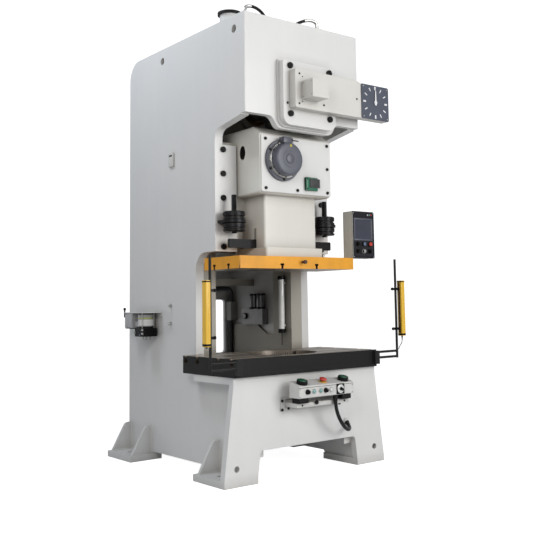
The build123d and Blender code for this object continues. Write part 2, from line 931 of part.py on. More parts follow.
# Gib plates: the bolted front faces of the slide guides, each with the arm of a knock-out stop
stop_y = bed_face + stop_depth
with BuildPart() as gib_plates:
    for side in (-1, 1):
        block(sorted((side * gib_inner, side * side_outer)), (gib_face, gib_back), (gib_low, gib_high))
        with BuildSketch(Plane.XY.offset(stop_arm_z)):
            with Locations((side * stop_x, (stop_y + gib_face) / 2)):
                Rectangle(2 * stop_arm_half_width, gib_face - stop_y)
            with Locations((side * stop_x, stop_y)):
                Circle(stop_arm_half_width)
                Circle(stop_rod_radius + slip, mode=Mode.SUBTRACT)
            with Locations((side * stop_x, gib_face + stop_arm_half_width)):
                Rectangle(4 * stop_arm_half_width, 2 * stop_arm_half_width, mode=Mode.SUBTRACT)
        extrude(amount=stop_arm_thickness)
gib_plates.part.label = "gib_plates"
export_step(gib_plates.part, "parts/gib_plates.step")

# Guide rails behind the gib plates: an angle that holds each ear of the slide
with BuildPart() as guide_rails:
    for side in (-1, 1):
        with BuildSketch(Plane.XY.offset(gib_low)):
            with BuildLine():
                Polyline(
                    (side * (guide_half_width + seat_gap), gib_back),
                    (side * side_inner, gib_back),
                    (side * side_inner, web_front),
                    (side * rail_inner, web_front),
                    (side * rail_inner, guide_rear + seat_gap),
                    (side * (guide_half_width + seat_gap), guide_rear + seat_gap),
                    close=True,
                )
            make_face()
        extrude(amount=gib_high - gib_low)
guide_rails.part.label = "guide_rails"
export_step(guide_rails.part, "parts/guide_rails.step")

# Black fasteners of the frame: gib bolts, bearing bolts and the nuts of the knock-out stops
with BuildPart() as frame_bolts:
    for side in (-1, 1):
        for step in range(gib_bolt_count):
            height = gib_bolt_low + step * gib_bolt_pitch
            if abs(height - stop_arm_z - stop_arm_thickness / 2) > stop_arm_thickness + gib_bolt_radius:
                round_y(side * gib_bolt_x, height, (gib_face - gib_bolt_head, gib_face), gib_bolt_radius)
                hex_socket(side * gib_bolt_x, height, gib_face - gib_bolt_head, gib_bolt_radius, 8)
        for height in boss_bolt_z:
            round_y(side * boss_bolt_x, height, (boss_face - boss_bolt_head, boss_face), boss_bolt_radius)
            hex_socket(side * boss_bolt_x, height, boss_face - boss_bolt_head, boss_bolt_radius, 9)
        for low in (stop_arm_z - stop_nut_height, stop_arm_z + stop_arm_thickness):
            with BuildSketch(Plane.XY.offset(low)):
                with Locations((side * stop_x, stop_y)):
                    RegularPolygon(stop_nut_radius, 12)
                    Circle(stop_rod_radius + slip, mode=Mode.SUBTRACT)
            extrude(amount=stop_nut_height)
frame_bolts.part.label = "frame_bolts"
export_step(frame_bolts.part, "parts/frame_bolts.step")

# Crank housing: the stepped front bearing block with its spigot through the crown plate
with BuildPart() as crank_housing:
    for reach, front, back in (
        (boss_half_width + 10, crown_face - boss_step, crown_face),
        (boss_half_width, boss_face, crown_face - boss_step),
    ):
        grow = reach - boss_half_width
        with BuildSketch(front_view(back)):
            with BuildLine():
                FilletPolyline(
                    (-reach, boss_low - grow),
                    (reach, boss_low - grow),
                    (reach, boss_high + grow),
                    (-reach, boss_high + grow),
                    radius=[boss_radius, boss_radius, 12, 12],
                    close=True,
                )
            make_face()
        extrude(amount=back - front)
    round_y(0, crank_height, (crown_face, bed_face + spigot_depth), spigot_radius)
    round_y(0, crank_height, (boss_face + 14, bed_face + spigot_depth + 1),
            journal_radius + bush_wall, mode=Mode.SUBTRACT)
    round_y(0, crank_height, (boss_face - 1, boss_face + 15), stub_radius + 8, mode=Mode.SUBTRACT)
crank_housing.part.label = "crank_housing"
export_step(crank_housing.part, "parts/crank_housing.step")

# Bronze bushes of the crankshaft and the pinion shaft
with BuildPart() as shaft_bushes:
    for shaft_z, radius, front, back in (
        (crank_height, journal_radius, boss_face + 14, bed_face + spigot_depth),
        (crank_height, main_radius, web_front - bearing_boss_depth, web_back + bearing_boss_depth),
        (crank_height, main_radius, rear_web_front - bearing_boss_depth, rear_web_back + bearing_boss_depth),
        (drive_height, pinion_shaft_radius, web_front - bearing_boss_depth, web_back + bearing_boss_depth),
        (drive_height, pinion_shaft_radius, rear_web_front - bearing_boss_depth,
         rear_web_back + bearing_boss_depth),
    ):
        round_y(0, shaft_z, (front, back), radius + bush_wall)
        round_y(0, shaft_z, (front - 1, back + 1), radius + slip, mode=Mode.SUBTRACT)
shaft_bushes.part.label = "shaft_bushes"
export_step(shaft_bushes.part, "parts/shaft_bushes.step")

# Crankshaft: front journal, two cheeks with the pin between them, and the long main journal
crank_front = boss_face + 16
main_rear = rear_web_back + bearing_boss_depth + 6
with BuildPart() as crankshaft:
    round_y(0, crank_height, (case_front + case_wall + 12, crank_front), stub_radius)
    round_y(0, crank_height, (crank_front, pin_front - cheek_thickness), journal_radius)
    for back in (pin_front, pin_rear + cheek_thickness):
        with BuildSketch(front_view(back)):
            with Locations((0, (crank_height + pin_height) / 2)):
                SlotCenterToCenter(crank_throw, 2 * cheek_radius, rotation=90)
        extrude(amount=cheek_thickness)
    round_y(0, pin_height, (pin_front, pin_rear), pin_radius)
    round_y(0, crank_height, (pin_rear + cheek_thickness, main_rear), main_radius)
    sprocket_y = (case_front + case_wall + 14, case_front + case_wall + 24)
    round_y(0, crank_height, sprocket_y, sprocket_radius)
crankshaft.part.label = "crankshaft"
export_step(crankshaft.part, "parts/crankshaft.step")

# Main gear on the crankshaft, with a thin web and lightening holes
gear_front = bed_face + gear_depth
gear_back = gear_front + gear_width
gear_root = gear_module * (gear_teeth / 2 - 1.2)
with BuildPart() as main_gear:
    with BuildSketch(front_view(gear_back, z=crank_height)):
        with BuildLine():
            Polyline(*gear_points(gear_teeth, gear_module, -90), close=True)
        make_face()
    extrude(amount=gear_width)
    recess = (gear_width - gear_web) / 2
    for front, back in ((gear_front - 1, gear_front + recess), (gear_back - recess, gear_back + 1)):
        with BuildSketch(front_view(back)):
            with Locations((0, crank_height)):
                Circle(gear_root - gear_rim)
                Circle(gear_hub_radius, mode=Mode.SUBTRACT)
        extrude(amount=back - front, mode=Mode.SUBTRACT)
    with BuildSketch(front_view(gear_back)):
        with Locations((0, crank_height)):
            with PolarLocations((gear_root - gear_rim + gear_hub_radius) / 2, lightening_count):
                Circle(lightening_radius)
            Circle(main_radius)
    extrude(amount=gear_width, mode=Mode.SUBTRACT)
main_gear.part.label = "main_gear"
export_step(main_gear.part, "parts/main_gear.step")

# Connecting rod: lower half of the big end, tapered shank, small eye and its wrist pin
rod_back = press_y + rod_width / 2
eye_back = press_y + rod_eye_width / 2
with BuildPart() as connecting_rod:
    with BuildSketch(front_view(rod_back)):
        with Locations((0, pin_height)):
            Circle(rod_big_radius)
            Rectangle(2 * rod_lug_reach, 2 * rod_lug_height)
        with Locations((0, pin_height + rod_big_radius)):
            Rectangle(4 * rod_big_radius, 2 * rod_big_radius, mode=Mode.SUBTRACT)
        with Locations((0, pin_height)):
            Circle(pin_radius + slip, mode=Mode.SUBTRACT)
    extrude(amount=rod_width)
    with BuildSketch(front_view(eye_back)):
        with BuildLine():
            Polyline(
                (-rod_shoulder, pin_height - pin_radius),
                (rod_shoulder, pin_height - pin_radius),
                (rod_eye_radius, wrist_height),
                (-rod_eye_radius, wrist_height),
                close=True,
            )
        make_face()
        with Locations((0, wrist_height)):
            Circle(rod_eye_radius)
        with Locations((0, pin_height)):
            Circle(pin_radius + slip, mode=Mode.SUBTRACT)
    extrude(amount=rod_eye_width)
    pin_half = rod_eye_width / 2 + fork_gap + fork_wall + 4
    round_y(0, wrist_height, (press_y - pin_half, press_y + pin_half), wrist_radius)
connecting_rod.part.label = "connecting_rod"
export_step(connecting_rod.part, "parts/connecting_rod.step")

# Cap of the big end, held by two bolts
with BuildPart() as rod_cap:
    with BuildSketch(front_view(rod_back)):
        with Locations((0, pin_height)):
            Circle(rod_big_radius)
            Rectangle(2 * rod_lug_reach, 2 * rod_lug_height)
            Circle(pin_radius + slip, mode=Mode.SUBTRACT)
        with Locations((0, pin_height - rod_big_radius)):
            Rectangle(4 * rod_big_radius, 2 * rod_big_radius, mode=Mode.SUBTRACT)
    extrude(amount=rod_width)
    for side in (-1, 1):
        for along in (-rod_width / 4, rod_width / 4):
            round_z(side * cap_bolt_x, press_y + along,
                    (pin_height + rod_lug_height, pin_height + rod_lug_height + 22), cap_bolt_radius)
rod_cap.part.label = "rod_cap"
export_step(rod_cap.part, "parts/rod_cap.step")

# Plunger: fork with long windows for the wrist pin, on the adjusting screw
fork_right = crank_throw + fork_left
fork_top = wrist_height + wrist_radius + follow_error + fork_rim
fork_inner = rod_eye_width / 2 + fork_gap
fork_outer = fork_inner + fork_wall
with BuildPart() as plunger:
    block((-fork_left, fork_right), (press_y - fork_outer, press_y + fork_outer),
          (fork_low, fork_top))
    block((-fork_left - 1, fork_right + 1), (press_y - fork_inner, press_y + fork_inner),
          (fork_low + fork_base, fork_top + 1), mode=Mode.SUBTRACT)
    window_high_half = wrist_radius + follow_error
    with BuildSketch(front_view(press_y + fork_outer)):
        with Locations((crank_throw / 2, wrist_height)):
            RectangleRounded(crank_throw + 2 * (wrist_radius + seat_gap), 2 * window_high_half,
                             wrist_radius)
    extrude(amount=2 * fork_outer, mode=Mode.SUBTRACT)
    screw_low = wheel_height - wheel_width / 2 - height_adjustment - 30
    round_z(0, press_y, (screw_low, fork_low), screw_radius)
    chamfer(plunger.faces().sort_by(Axis.Z)[0].edges(), 4)
plunger.part.label = "plunger"
export_step(plunger.part, "parts/plunger.step")

# Pinion shaft, with the disc of the clutch at its back end
pinion_front = web_front - bearing_boss_depth
disc_front = bed_face + flywheel_depth + flywheel_width + clutch_gap
disc_back = disc_front + clutch_disc_width
with BuildPart() as pinion_shaft:
    round_y(0, drive_height, (pinion_front, disc_back + shaft_overrun), pinion_shaft_radius)
    with BuildSketch(front_view(gear_back + 5, z=drive_height)):
        with BuildLine():
            Polyline(*gear_points(pinion_teeth, gear_module, 90 + 180 / pinion_teeth), close=True)
        make_face()
    extrude(amount=gear_width + 10)
    round_y(0, drive_height, (disc_front, disc_back), clutch_disc_radius)
pinion_shaft.part.label = "pinion_shaft"
export_step(pinion_shaft.part, "parts/pinion_shaft.step")

# Flywheel and motor pulley share the pitch and width of their belt grooves
fly_front = bed_face + flywheel_depth
fly_back = fly_front + flywheel_width
belt_line = (fly_front + fly_back) / 2
belt_centres = [belt_line + (i - (belt_count - 1) / 2) * belt_pitch for i in range(belt_count)]
groove_half = belt_width / 2 + 0.5
with BuildPart() as flywheel:
    round_y(0, drive_height, (fly_front, fly_back), flywheel_radius)
    recess = (flywheel_width - flywheel_web) / 2
    for front, back in ((fly_front - 1, fly_front + recess), (fly_back - recess, fly_back + 1)):
        with BuildSketch(front_view(back)):
            with Locations((0, drive_height)):
                Circle(flywheel_radius - flywheel_rim)
                Circle(flywheel_hub_radius, mode=Mode.SUBTRACT)
        extrude(amount=back - front, mode=Mode.SUBTRACT)
    for centre in belt_centres:
        with BuildSketch(front_view(centre + groove_half)):
            with Locations((0, drive_height)):
                Circle(flywheel_radius + 1)
                Circle(flywheel_radius - groove_depth, mode=Mode.SUBTRACT)
        extrude(amount=2 * groove_half, mode=Mode.SUBTRACT)
    with BuildSketch(front_view(fly_back)):
        with Locations((0, drive_height)):
            with PolarLocations((flywheel_radius - flywheel_rim + flywheel_hub_radius) / 2, lightening_count):
                Circle(lightening_radius)
            Circle(pinion_shaft_radius + slip)
    extrude(amount=flywheel_width, mode=Mode.SUBTRACT)
flywheel.part.label = "flywheel"
export_step(flywheel.part, "parts/flywheel.step")

with BuildPart() as motor_pulley:
    round_y(0, motor_height, (fly_front, fly_back), pulley_radius)
    for centre in belt_centres:
        with BuildSketch(front_view(centre + groove_half)):
            with Locations((0, motor_height)):
                Circle(pulley_radius + 1)
                Circle(pulley_radius - groove_depth, mode=Mode.SUBTRACT)
        extrude(amount=2 * groove_half, mode=Mode.SUBTRACT)
    motor_front = bed_face + motor_depth
    round_y(0, motor_height, (fly_front - 6, motor_front + motor_length / 2), motor_shaft_radius)
motor_pulley.part.label = "motor_pulley"
export_step(motor_pulley.part, "parts/motor_pulley.step")

# Drive belts in their grooves
belt_inner = groove_depth - 0.5
with BuildPart() as drive_belts:
    for centre in belt_centres:
        for depth, mode in ((belt_inner - belt_thickness, Mode.ADD), (belt_inner, Mode.SUBTRACT)):
            with BuildSketch(front_view(centre + belt_width / 2)) as loop:
                with Locations((0, drive_height)):
                    Circle(flywheel_radius - depth)
                with Locations((0, motor_height)):
                    Circle(pulley_radius - depth)
                make_hull()
            extrude(amount=belt_width, mode=mode)
drive_belts.part.label = "drive_belts"
export_step(drive_belts.part, "parts/drive_belts.step")

# Main motor on its shelf: finned body, end shield, feet and terminal box
with BuildPart() as main_motor:
    motor_back = motor_front + motor_length
    round_y(0, motor_height, (motor_front, motor_back), motor_radius)
    with BuildSketch(front_view(motor_back - 40)):
        with Locations((0, motor_height)):
            with PolarLocations(motor_radius, motor_fin_count):
                Rectangle(2 * motor_fin_height, 5)
    extrude(amount=motor_length - 80)
    foot_low = motor_height - motor_foot_drop
    for side in (-1, 1):
        block(sorted((side * 70, side * 165)), (motor_front + 50, motor_back - 50), (foot_low, foot_low + 18))
        block(sorted((side * 70, side * 92)), (motor_front + 50, motor_back - 50),
              (foot_low, motor_height - 90))
    block((motor_radius - 20, motor_radius + 70), (motor_front + 80, motor_front + 210),
          (motor_height - 50, motor_height + 50))
    round_y(0, motor_height, (motor_front - 1, motor_front + motor_length / 2 + 2),
            motor_shaft_radius + slip, mode=Mode.SUBTRACT)
main_motor.part.label = "main_motor"
export_step(main_motor.part, "parts/main_motor.step")

# Slide body: guided box with ears, narrow neck and the flange that carries the face plate
slide_front = bed_face + slide_front_depth
slide_rear = bed_face + slide_rear_depth
neck_front = bed_face + neck_front_depth
wheel_radius = wheel_teeth * wheel_module / 2
worm_bore_end = press_y + 85
shaft_end = worm_bore_end + 48
with BuildPart() as slide_body:
    with BuildSketch(side_view(-slide_half_width)):
        with BuildLine():
            FilletPolyline(
                (slide_front, slide_low),
                (slide_front, slide_high - slide_chamfer[1]),
                (slide_front + slide_chamfer[0], slide_high),
                (slide_rear, slide_high),
                (slide_rear, slide_low),
                radius=[28, 12, 12, 0, 0],
                close=True,
            )
        make_face()
    extrude(amount=2 * slide_half_width)
    fillet(slide_body.faces().sort_by(Axis.Y)[0].edges().filter_by(Axis.Z), 14)
    with BuildSketch(Plane.XY.offset(plate_top)):
        with Locations((0, (neck_front + slide_rear) / 2)):
            RectangleRounded(2 * neck_half_width, slide_rear - neck_front, neck_radius)
    extrude(amount=slide_low - plate_top + 10)
    with BuildSketch(Plane.XY.offset(plate_top)):
        with Locations((0, bed_face + (flange_front_depth + flange_rear_depth) / 2)):
            RectangleRounded(2 * flange_half_width, flange_rear_depth - flange_front_depth, neck_radius)
    extrude(amount=flange_height)
    block((-guide_half_width, guide_half_width), (gib_back + seat_gap, guide_rear), (ear_low, ear_high))
    block((-cavity_half_width, cavity_half_width),
          (press_y - cavity_half_depth, press_y + cavity_half_depth),
          (cavity_low, slide_high + 1), mode=Mode.SUBTRACT)
    wheel_floor = wheel_height - wheel_width / 2 - seat_gap
    round_z(0, press_y, (wheel_floor, cavity_low + 1), wheel_radius + wheel_module + 1.5, mode=Mode.SUBTRACT)
    round_z(0, press_y, (screw_low - 10, wheel_floor + 1), screw_radius + 2, mode=Mode.SUBTRACT)
    round_y(adjust_x, wheel_height, (slide_front - 1, worm_bore_end), worm_pitch_radius + 7,
            mode=Mode.SUBTRACT)
    round_y(adjust_x, wheel_height, (worm_bore_end - 1, shaft_end), worm_shaft_radius + slip,
            mode=Mode.SUBTRACT)
    with BuildSketch(side_view(-slide_half_width - 1)):
        with Locations((bed_face + side_hole_depth, side_hole_height)):
            Ellipse(side_hole_size[0] / 2, side_hole_size[1] / 2)
    extrude(amount=2 * slide_half_width + 2, mode=Mode.SUBTRACT)
    block((-neck_half_width - 1, neck_half_width + 1),
          (stop_y - bar_slot_width / 2, stop_y + bar_slot_width / 2),
          (plate_top + flange_height, bar_slot_high), mode=Mode.SUBTRACT)
slide_body.part.label = "slide_body"
export_step(slide_body.part, "parts/slide_body.step")

# Front cover of the slide box
cover_front = slide_front - cover_thickness
with BuildPart() as slide_cover:
    block((-cover_half_width, cover_half_width), (cover_front, slide_front), (cover_low, cover_high))
    fillet(slide_cover.edges().filter_by(Axis.Y), 10)
    chamfer(slide_cover.faces().sort_by(Axis.Y)[0].edges(), 1.5)
    round_y(adjust_x, wheel_height, (cover_front - 1, slide_front + 1), worm_shaft_radius + 6,
            mode=Mode.SUBTRACT)
slide_cover.part.label = "slide_cover"
export_step(slide_cover.part, "parts/slide_cover.step")

# Face plate of the slide, with T slots both ways and the hole for the die shank
plate_front = bed_face + plate_front_depth
plate_rear = bed_face + plate_rear_depth
plate_middle = (plate_front + plate_rear) / 2
with BuildPart() as slide_plate:
    block((-plate_half_width, plate_half_width), (plate_front, plate_rear), (slide_face, plate_top))
    chamfer(slide_plate.edges().filter_by(Axis.Z), 5)
    for side in (-1, 1):
        tee_slot("y", side * plate_slot_x, (plate_front - 1, plate_rear + 1), slide_face,
                 plate_slot_throat, plate_slot_head, plate_slot_head_height, -plate_slot_depth)
        tee_slot("x", plate_middle + side * plate_slot_y, (-plate_half_width - 1, plate_half_width + 1),
                 slide_face, plate_slot_throat, plate_slot_head, plate_slot_head_height, -plate_slot_depth)
    round_z(0, press_y, (slide_face - 1, plate_top + 1), shank_radius, mode=Mode.SUBTRACT)
slide_plate.part.label = "slide_plate"
export_step(slide_plate.part, "parts/slide_plate.step")

# Black screws of the slide: the cover's screws and the clamp screw of the shank
with BuildPart() as slide_bolts:
    screw_x = cover_half_width - cover_screw_edge
    for x, row in ((-1, 2), (-1, 0), (0, 0), (1, 0), (1, 1), (1, 2)):
        round_y(x * screw_x, cover_low + cover_screw_rows[row],
                (cover_front - cover_screw_head, cover_front), cover_screw_radius)
        hex_socket(x * screw_x, cover_low + cover_screw_rows[row], cover_front - cover_screw_head,
                   cover_screw_radius, 5)
    with BuildSketch(front_view(plate_front)):
        with Locations((clamp_screw[0], slide_face + clamp_screw[1])):
            RegularPolygon(clamp_screw[2], 6)
    extrude(amount=clamp_screw[3])
slide_bolts.part.label = "slide_bolts"
export_step(slide_bolts.part, "parts/slide_bolts.step")

# Adjusting motor with its brake housing, bolted over the worm
flange_front = cover_front - adjust_flange_thickness
body_front = cover_front - adjust_body_length
with BuildPart() as adjust_motor:
    round_y(adjust_x, wheel_height, (flange_front, cover_front), adjust_flange_radius)
    round_y(adjust_x, wheel_height, (body_front, flange_front), adjust_body_radius)
    fillet(adjust_motor.edges().group_by(Axis.Y)[0], 16)
    round_y(adjust_x, wheel_height, (body_front - 6, body_front), adjust_boss_radius)
    with BuildSketch(front_view(flange_front)):
        with Locations((adjust_x, wheel_height)):
            with PolarLocations(adjust_flange_radius - adjust_bolt_edge, 6, start_angle=30):
                Circle(adjust_bolt_radius)
    extrude(amount=adjust_bolt_radius)
    box_low = wheel_height + adjust_body_radius - 12
    block((adjust_x - adjust_box[0] / 2, adjust_x + adjust_box[0] / 2),
          (cover_front - 12 - adjust_box[1], cover_front - 12), (box_low, box_low + adjust_box[2]))
    round_y(adjust_x, wheel_height, (cover_front - rotor_start - rotor_end_gap, cover_front + 1),
            worm_shaft_radius + slip, mode=Mode.SUBTRACT)
    lever_y = cover_front - 12 - adjust_box[1] / 2
    lever_z = box_low + adjust_box[2] * 0.62
    box_side = adjust_x + adjust_box[0] / 2
    lever_x = box_side + lever_pin_gap
    ear_radius, ear_half, ear_slot_half = lever_ear
    ear_z = (lever_z - ear_half, lever_z + ear_half)
    round_z(lever_x, lever_y, ear_z, ear_radius)
    block((box_side - 1, lever_x), (lever_y - ear_radius, lever_y + ear_radius), ear_z)
    block((box_side, lever_x + 20), (lever_y - 16, lever_y + 16),
          (lever_z - ear_slot_half, lever_z + ear_slot_half), mode=Mode.SUBTRACT)
    round_z(lever_x, lever_y, (lever_z - 20, lever_z + 20), lever_pin_radius + slip, mode=Mode.SUBTRACT)
adjust_motor.part.label = "adjust_motor"
export_step(adjust_motor.part, "parts/adjust_motor.step")

# Brake release lever, on an upright pin in the ears of the terminal box
with BuildPart() as brake_lever:
    round_z(lever_x, lever_y, (ear_z[0] - 2, ear_z[1] + 2), lever_pin_radius)
    round_z(lever_x, lever_y, (lever_z - lever_eye[1], lever_z + lever_eye[1]), lever_eye[0])
    round_x(lever_y, lever_z, (lever_x, lever_x + lever_length), lever_radius)
brake_lever.part.label = "brake_lever"
export_step(brake_lever.part, "parts/brake_lever.step")

# Worm shaft: the motor's rotor shaft with the body of the worm
with BuildPart() as worm_shaft:
    round_y(adjust_x, wheel_height, (cover_front - rotor_start, shaft_end - 2), worm_shaft_radius)
    round_y(adjust_x, wheel_height, (press_y - worm_length / 2, press_y + worm_length / 2),
            worm_pitch_radius - 1.2 * wheel_module)
worm_shaft.part.label = "worm_shaft"
export_step(worm_shaft.part, "parts/worm_shaft.step")

# Worm wheel, the nut on the adjusting screw
with BuildPart() as worm_wheel:
    with BuildSketch(Plane(origin=(0, press_y, wheel_height - wheel_width / 2))):
        with BuildLine():
            Polyline(*gear_points(wheel_teeth, wheel_module, 180), close=True)
        make_face()
        Circle(screw_radius + slip, mode=Mode.SUBTRACT)
    extrude(amount=wheel_width)
worm_wheel.part.label = "worm_wheel"
export_step(worm_wheel.part, "parts/worm_wheel.step")

# Die height counter on the cover
with BuildPart() as height_counter:
    block(counter_x, (cover_front - counter_thickness, cover_front),
          (counter_low, counter_low + counter_height))
    chamfer(height_counter.faces().sort_by(Axis.Y)[0].edges(), 4)
height_counter.part.label = "height_counter"
export_step(height_counter.part, "parts/height_counter.step")

# Knock-out bar through the slot of the neck
bar_low = plate_top + flange_height + seat_gap
with BuildPart() as knockout_bar:
    block((-bar_half_length, bar_half_length), (stop_y - bar_thickness / 2, stop_y + bar_thickness / 2),
          (bar_low, bar_low + bar_height))
    chamfer(knockout_bar.edges().filter_by(Axis.Y), 6)
knockout_bar.part.label = "knockout_bar"
export_step(knockout_bar.part, "parts/knockout_bar.step")

# Stop rods of the knock-out, screwed through their nuts
for side, name in ((-1, "stop_rod_left"), (1, "stop_rod_right")):
    with BuildPart() as stop_rod:
        round_z(side * stop_x, stop_y, (stop_rod_low, stop_rod_low + stop_rod_length), stop_rod_radius)
        chamfer(stop_rod.edges().filter_by(GeomType.CIRCLE), 2)
    stop_rod.part.label = name
    export_step(stop_rod.part, f"parts/{name}.step")

# Indicator case: the flat sheet housing of the chain from the crank to the dial
with BuildPart() as indicator_case:
    with BuildSketch(front_view(boss_face)) as case_outline:
        with BuildLine():
            FilletPolyline(
                (case_left, case_low),
                (case_right, case_low),
                (case_right, case_step),
                (case_step_x[1], case_step),
                (case_step_x[0], case_high),
                (case_left, case_high),
                radius=[14, 10, 10, 0, 0, 14],
                close=True,
            )
        make_face()
    extrude(amount=case_thickness)
    with BuildSketch(front_view(boss_face - case_wall)):
        add(case_outline.sketch_local)
        offset(amount=-case_wall)
    extrude(amount=case_thickness - 2 * case_wall, mode=Mode.SUBTRACT)
    round_y(0, crank_height, (boss_face - 20, boss_face + 1), sprocket_radius + 10, mode=Mode.SUBTRACT)
    round_y(dial_x, case_height, (case_front - 1, case_front + 10), pointer_radius + slip,
            mode=Mode.SUBTRACT)
    block((boss_half_width + 60, case_step_x[0]), (boss_face, crown_face), (case_low + 20, case_high - 50))
indicator_case.part.label = "indicator_case"
export_step(indicator_case.part, "parts/indicator_case.step")

# Dial plate on the case
with BuildPart() as dial:
    with BuildSketch(front_view(case_front)):
        with Locations((dial_x, case_height)):
            RectangleRounded(case_right - case_step_x[1], case_step - case_low, dial_radius)
            Circle(pointer_radius + slip, mode=Mode.SUBTRACT)
    extrude(amount=dial_thickness)
dial.part.label = "dial"
export_step(dial.part, "parts/dial.step")

# Pointer with its shaft and chain wheel
dial_face = case_front - dial_thickness
with BuildPart() as dial_pointer:
    round_y(dial_x, case_height, (dial_face - 8, sprocket_y[1] + 6), pointer_radius)
    round_y(dial_x, case_height, sprocket_y, sprocket_radius)
    with BuildSketch(front_view(dial_face - 3)):
        with Locations((dial_x, case_height)):
            Circle(14)
        with BuildLine():
            Polyline(
                (dial_x - 9, case_height - 20),
                (dial_x + 9, case_height - 20),
                (dial_x + 3, case_height + pointer_length),
                (dial_x - 3, case_height + pointer_length),
                close=True,
            )
        make_face()
    extrude(amount=pointer_thickness)
dial_pointer.part.label = "dial_pointer"
export_step(dial_pointer.part, "parts/dial_pointer.step")

# Cover of the position encoder, a folded sheet box open at the back
with BuildPart() as encoder_cover:
    block(encoder_x, (case_front - encoder_depth, case_front), encoder_z)
    block((encoder_x[0] + sheet, encoder_x[1] - sheet), (case_front - encoder_depth + sheet, case_front + 1),
          (encoder_z[0] + sheet, encoder_z[1] - sheet), mode=Mode.SUBTRACT)
encoder_cover.part.label = "encoder_cover"
export_step(encoder_cover.part, "parts/encoder_cover.step")

# Two-hand control box on its tray, with collars, lamps and the fixed switch
control_front = bed_face + control_front_depth
control_back = control_front + control_depth
control_left = control_x - control_half_width
control_right = control_x + control_half_width
top_tilt = atan2(control_rear_high - control_front_high, control_depth)
button_y = control_front + 0.42 * control_depth
button_z = control_front_high + 0.42 * (control_rear_high - control_front_high)


def control_top(x):
    """Plane on the sloping top of the control box, its normal up and forward."""
    return Plane(origin=(x, button_y, button_z), x_dir=(1, 0, 0), z_dir=(0, -sin(top_tilt), cos(top_tilt)))


with BuildPart() as control_box:
    with BuildSketch(side_view(control_left)):
        with BuildLine():
            FilletPolyline(
                (control_front, control_low),
                (control_front, control_front_high),
                (control_back, control_rear_high),
                (control_back, control_low),
                radius=[6, 6, 6, 0],
                close=True,
            )
        make_face()
    extrude(amount=2 * control_half_width)
    for x in (control_x - palm_spacing, control_x + palm_spacing):
        with BuildSketch(control_top(x)):
            Circle(palm_radius)
            Circle(palm_radius - 5, mode=Mode.SUBTRACT)
        extrude(amount=palm_collar_height)
        with BuildSketch(control_top(x)):
            Circle(stem_radius + slip)
        extrude(amount=-16, mode=Mode.SUBTRACT)
    with BuildSketch(control_top(control_x)):
        Rectangle(stop_pad[0], stop_pad[0])
    extrude(amount=stop_pad[1])
    with BuildSketch(control_top(control_x).offset(stop_pad[1] + 1)):
        Circle(stop_stem_radius + slip)
    extrude(amount=-21, mode=Mode.SUBTRACT)
    for x in lamp_x:
        round_y(x, control_knob_z, (control_front - 5, control_front), lamp_radius)
    round_y(second_knob_x, control_knob_z, (control_front - knob_height, control_front), knob_radius)
    block(cam_switch[:2], (control_front - cam_switch[3], control_front),
          (control_knob_z - cam_switch[2], control_knob_z + cam_switch[2]))
    round_y(knob_x, control_knob_z, (control_front - 1, control_front + 16), selector_stem_radius + slip,
            mode=Mode.SUBTRACT)
    round_z(cable_start[0], bed_face + cable_start[1], (control_low - cable_gland[1], control_low),
            cable_gland[0])
    for x in (control_left + 50, control_right - 50):
        block((x - foot_half_width, x + foot_half_width), (control_front + 15, control_back - 12),
              (tray_high, control_low))
    block((control_left - 27, control_right + 27), (bed_face - bracket_sheet, bed_face),
          (bracket_low, bracket_high))
    block((control_left + 12, control_right - 4), (bed_face - tray_depth, bed_face - bracket_sheet),
          (bracket_low + 20, tray_high))
    block((control_left + 12 + bracket_sheet, control_right - 4 - bracket_sheet),
          (bed_face - tray_depth + bracket_sheet, bed_face - bracket_sheet),
          (bracket_low + 19, tray_high - bracket_sheet), mode=Mode.SUBTRACT)
control_box.part.label = "control_box"
export_step(control_box.part, "parts/control_box.step")

# Palm buttons and the emergency stop, each on its stem in the control box
for side, name in ((-1, "palm_button_left"), (1, "palm_button_right")):
    x = control_x + side * palm_spacing
    with BuildPart() as palm_button:
        with BuildSketch(control_top(x)):
            Circle(stem_radius)
        extrude(amount=palm_collar_height)
        with BuildSketch(control_top(x).offset(8)):
            Circle(palm_radius - 5.3)
        extrude(amount=palm_cap_height - 8)
        with BuildSketch(control_top(x)):
            Circle(stem_radius)
        extrude(amount=-9)
    palm_button.part.label = name
    export_step(palm_button.part, f"parts/{name}.step")

with BuildPart() as e_stop_button:
    with BuildSketch(control_top(control_x).offset(-8)):
        Circle(stop_stem_radius)
    extrude(amount=22)
    with BuildSketch(control_top(control_x).offset(stop_cap_heights[0])):
        Circle(stop_button_radius)
    extrude(amount=stop_cap_heights[1] - stop_cap_heights[0])
    fillet(e_stop_button.edges().filter_by(GeomType.CIRCLE).sort_by(Axis.Z)[-1], 6)
e_stop_button.part.label = "e_stop_button"
export_step(e_stop_button.part, "parts/e_stop_button.step")

# Selector knob on the front of the control box
with BuildPart() as mode_selector:
    round_y(knob_x, control_knob_z, (control_front - 6, control_front + 12), selector_stem_radius)
    round_y(knob_x, control_knob_z, (control_front - knob_height, control_front - seat_gap), knob_radius)
    block((knob_x - 3, knob_x + 3), (control_front - knob_height - 5, control_front - knob_height + 1),
          (control_knob_z - knob_radius + 1, control_knob_z + knob_radius - 1))
mode_selector.part.label = "mode_selector"
export_step(mode_selector.part, "parts/mode_selector.step")


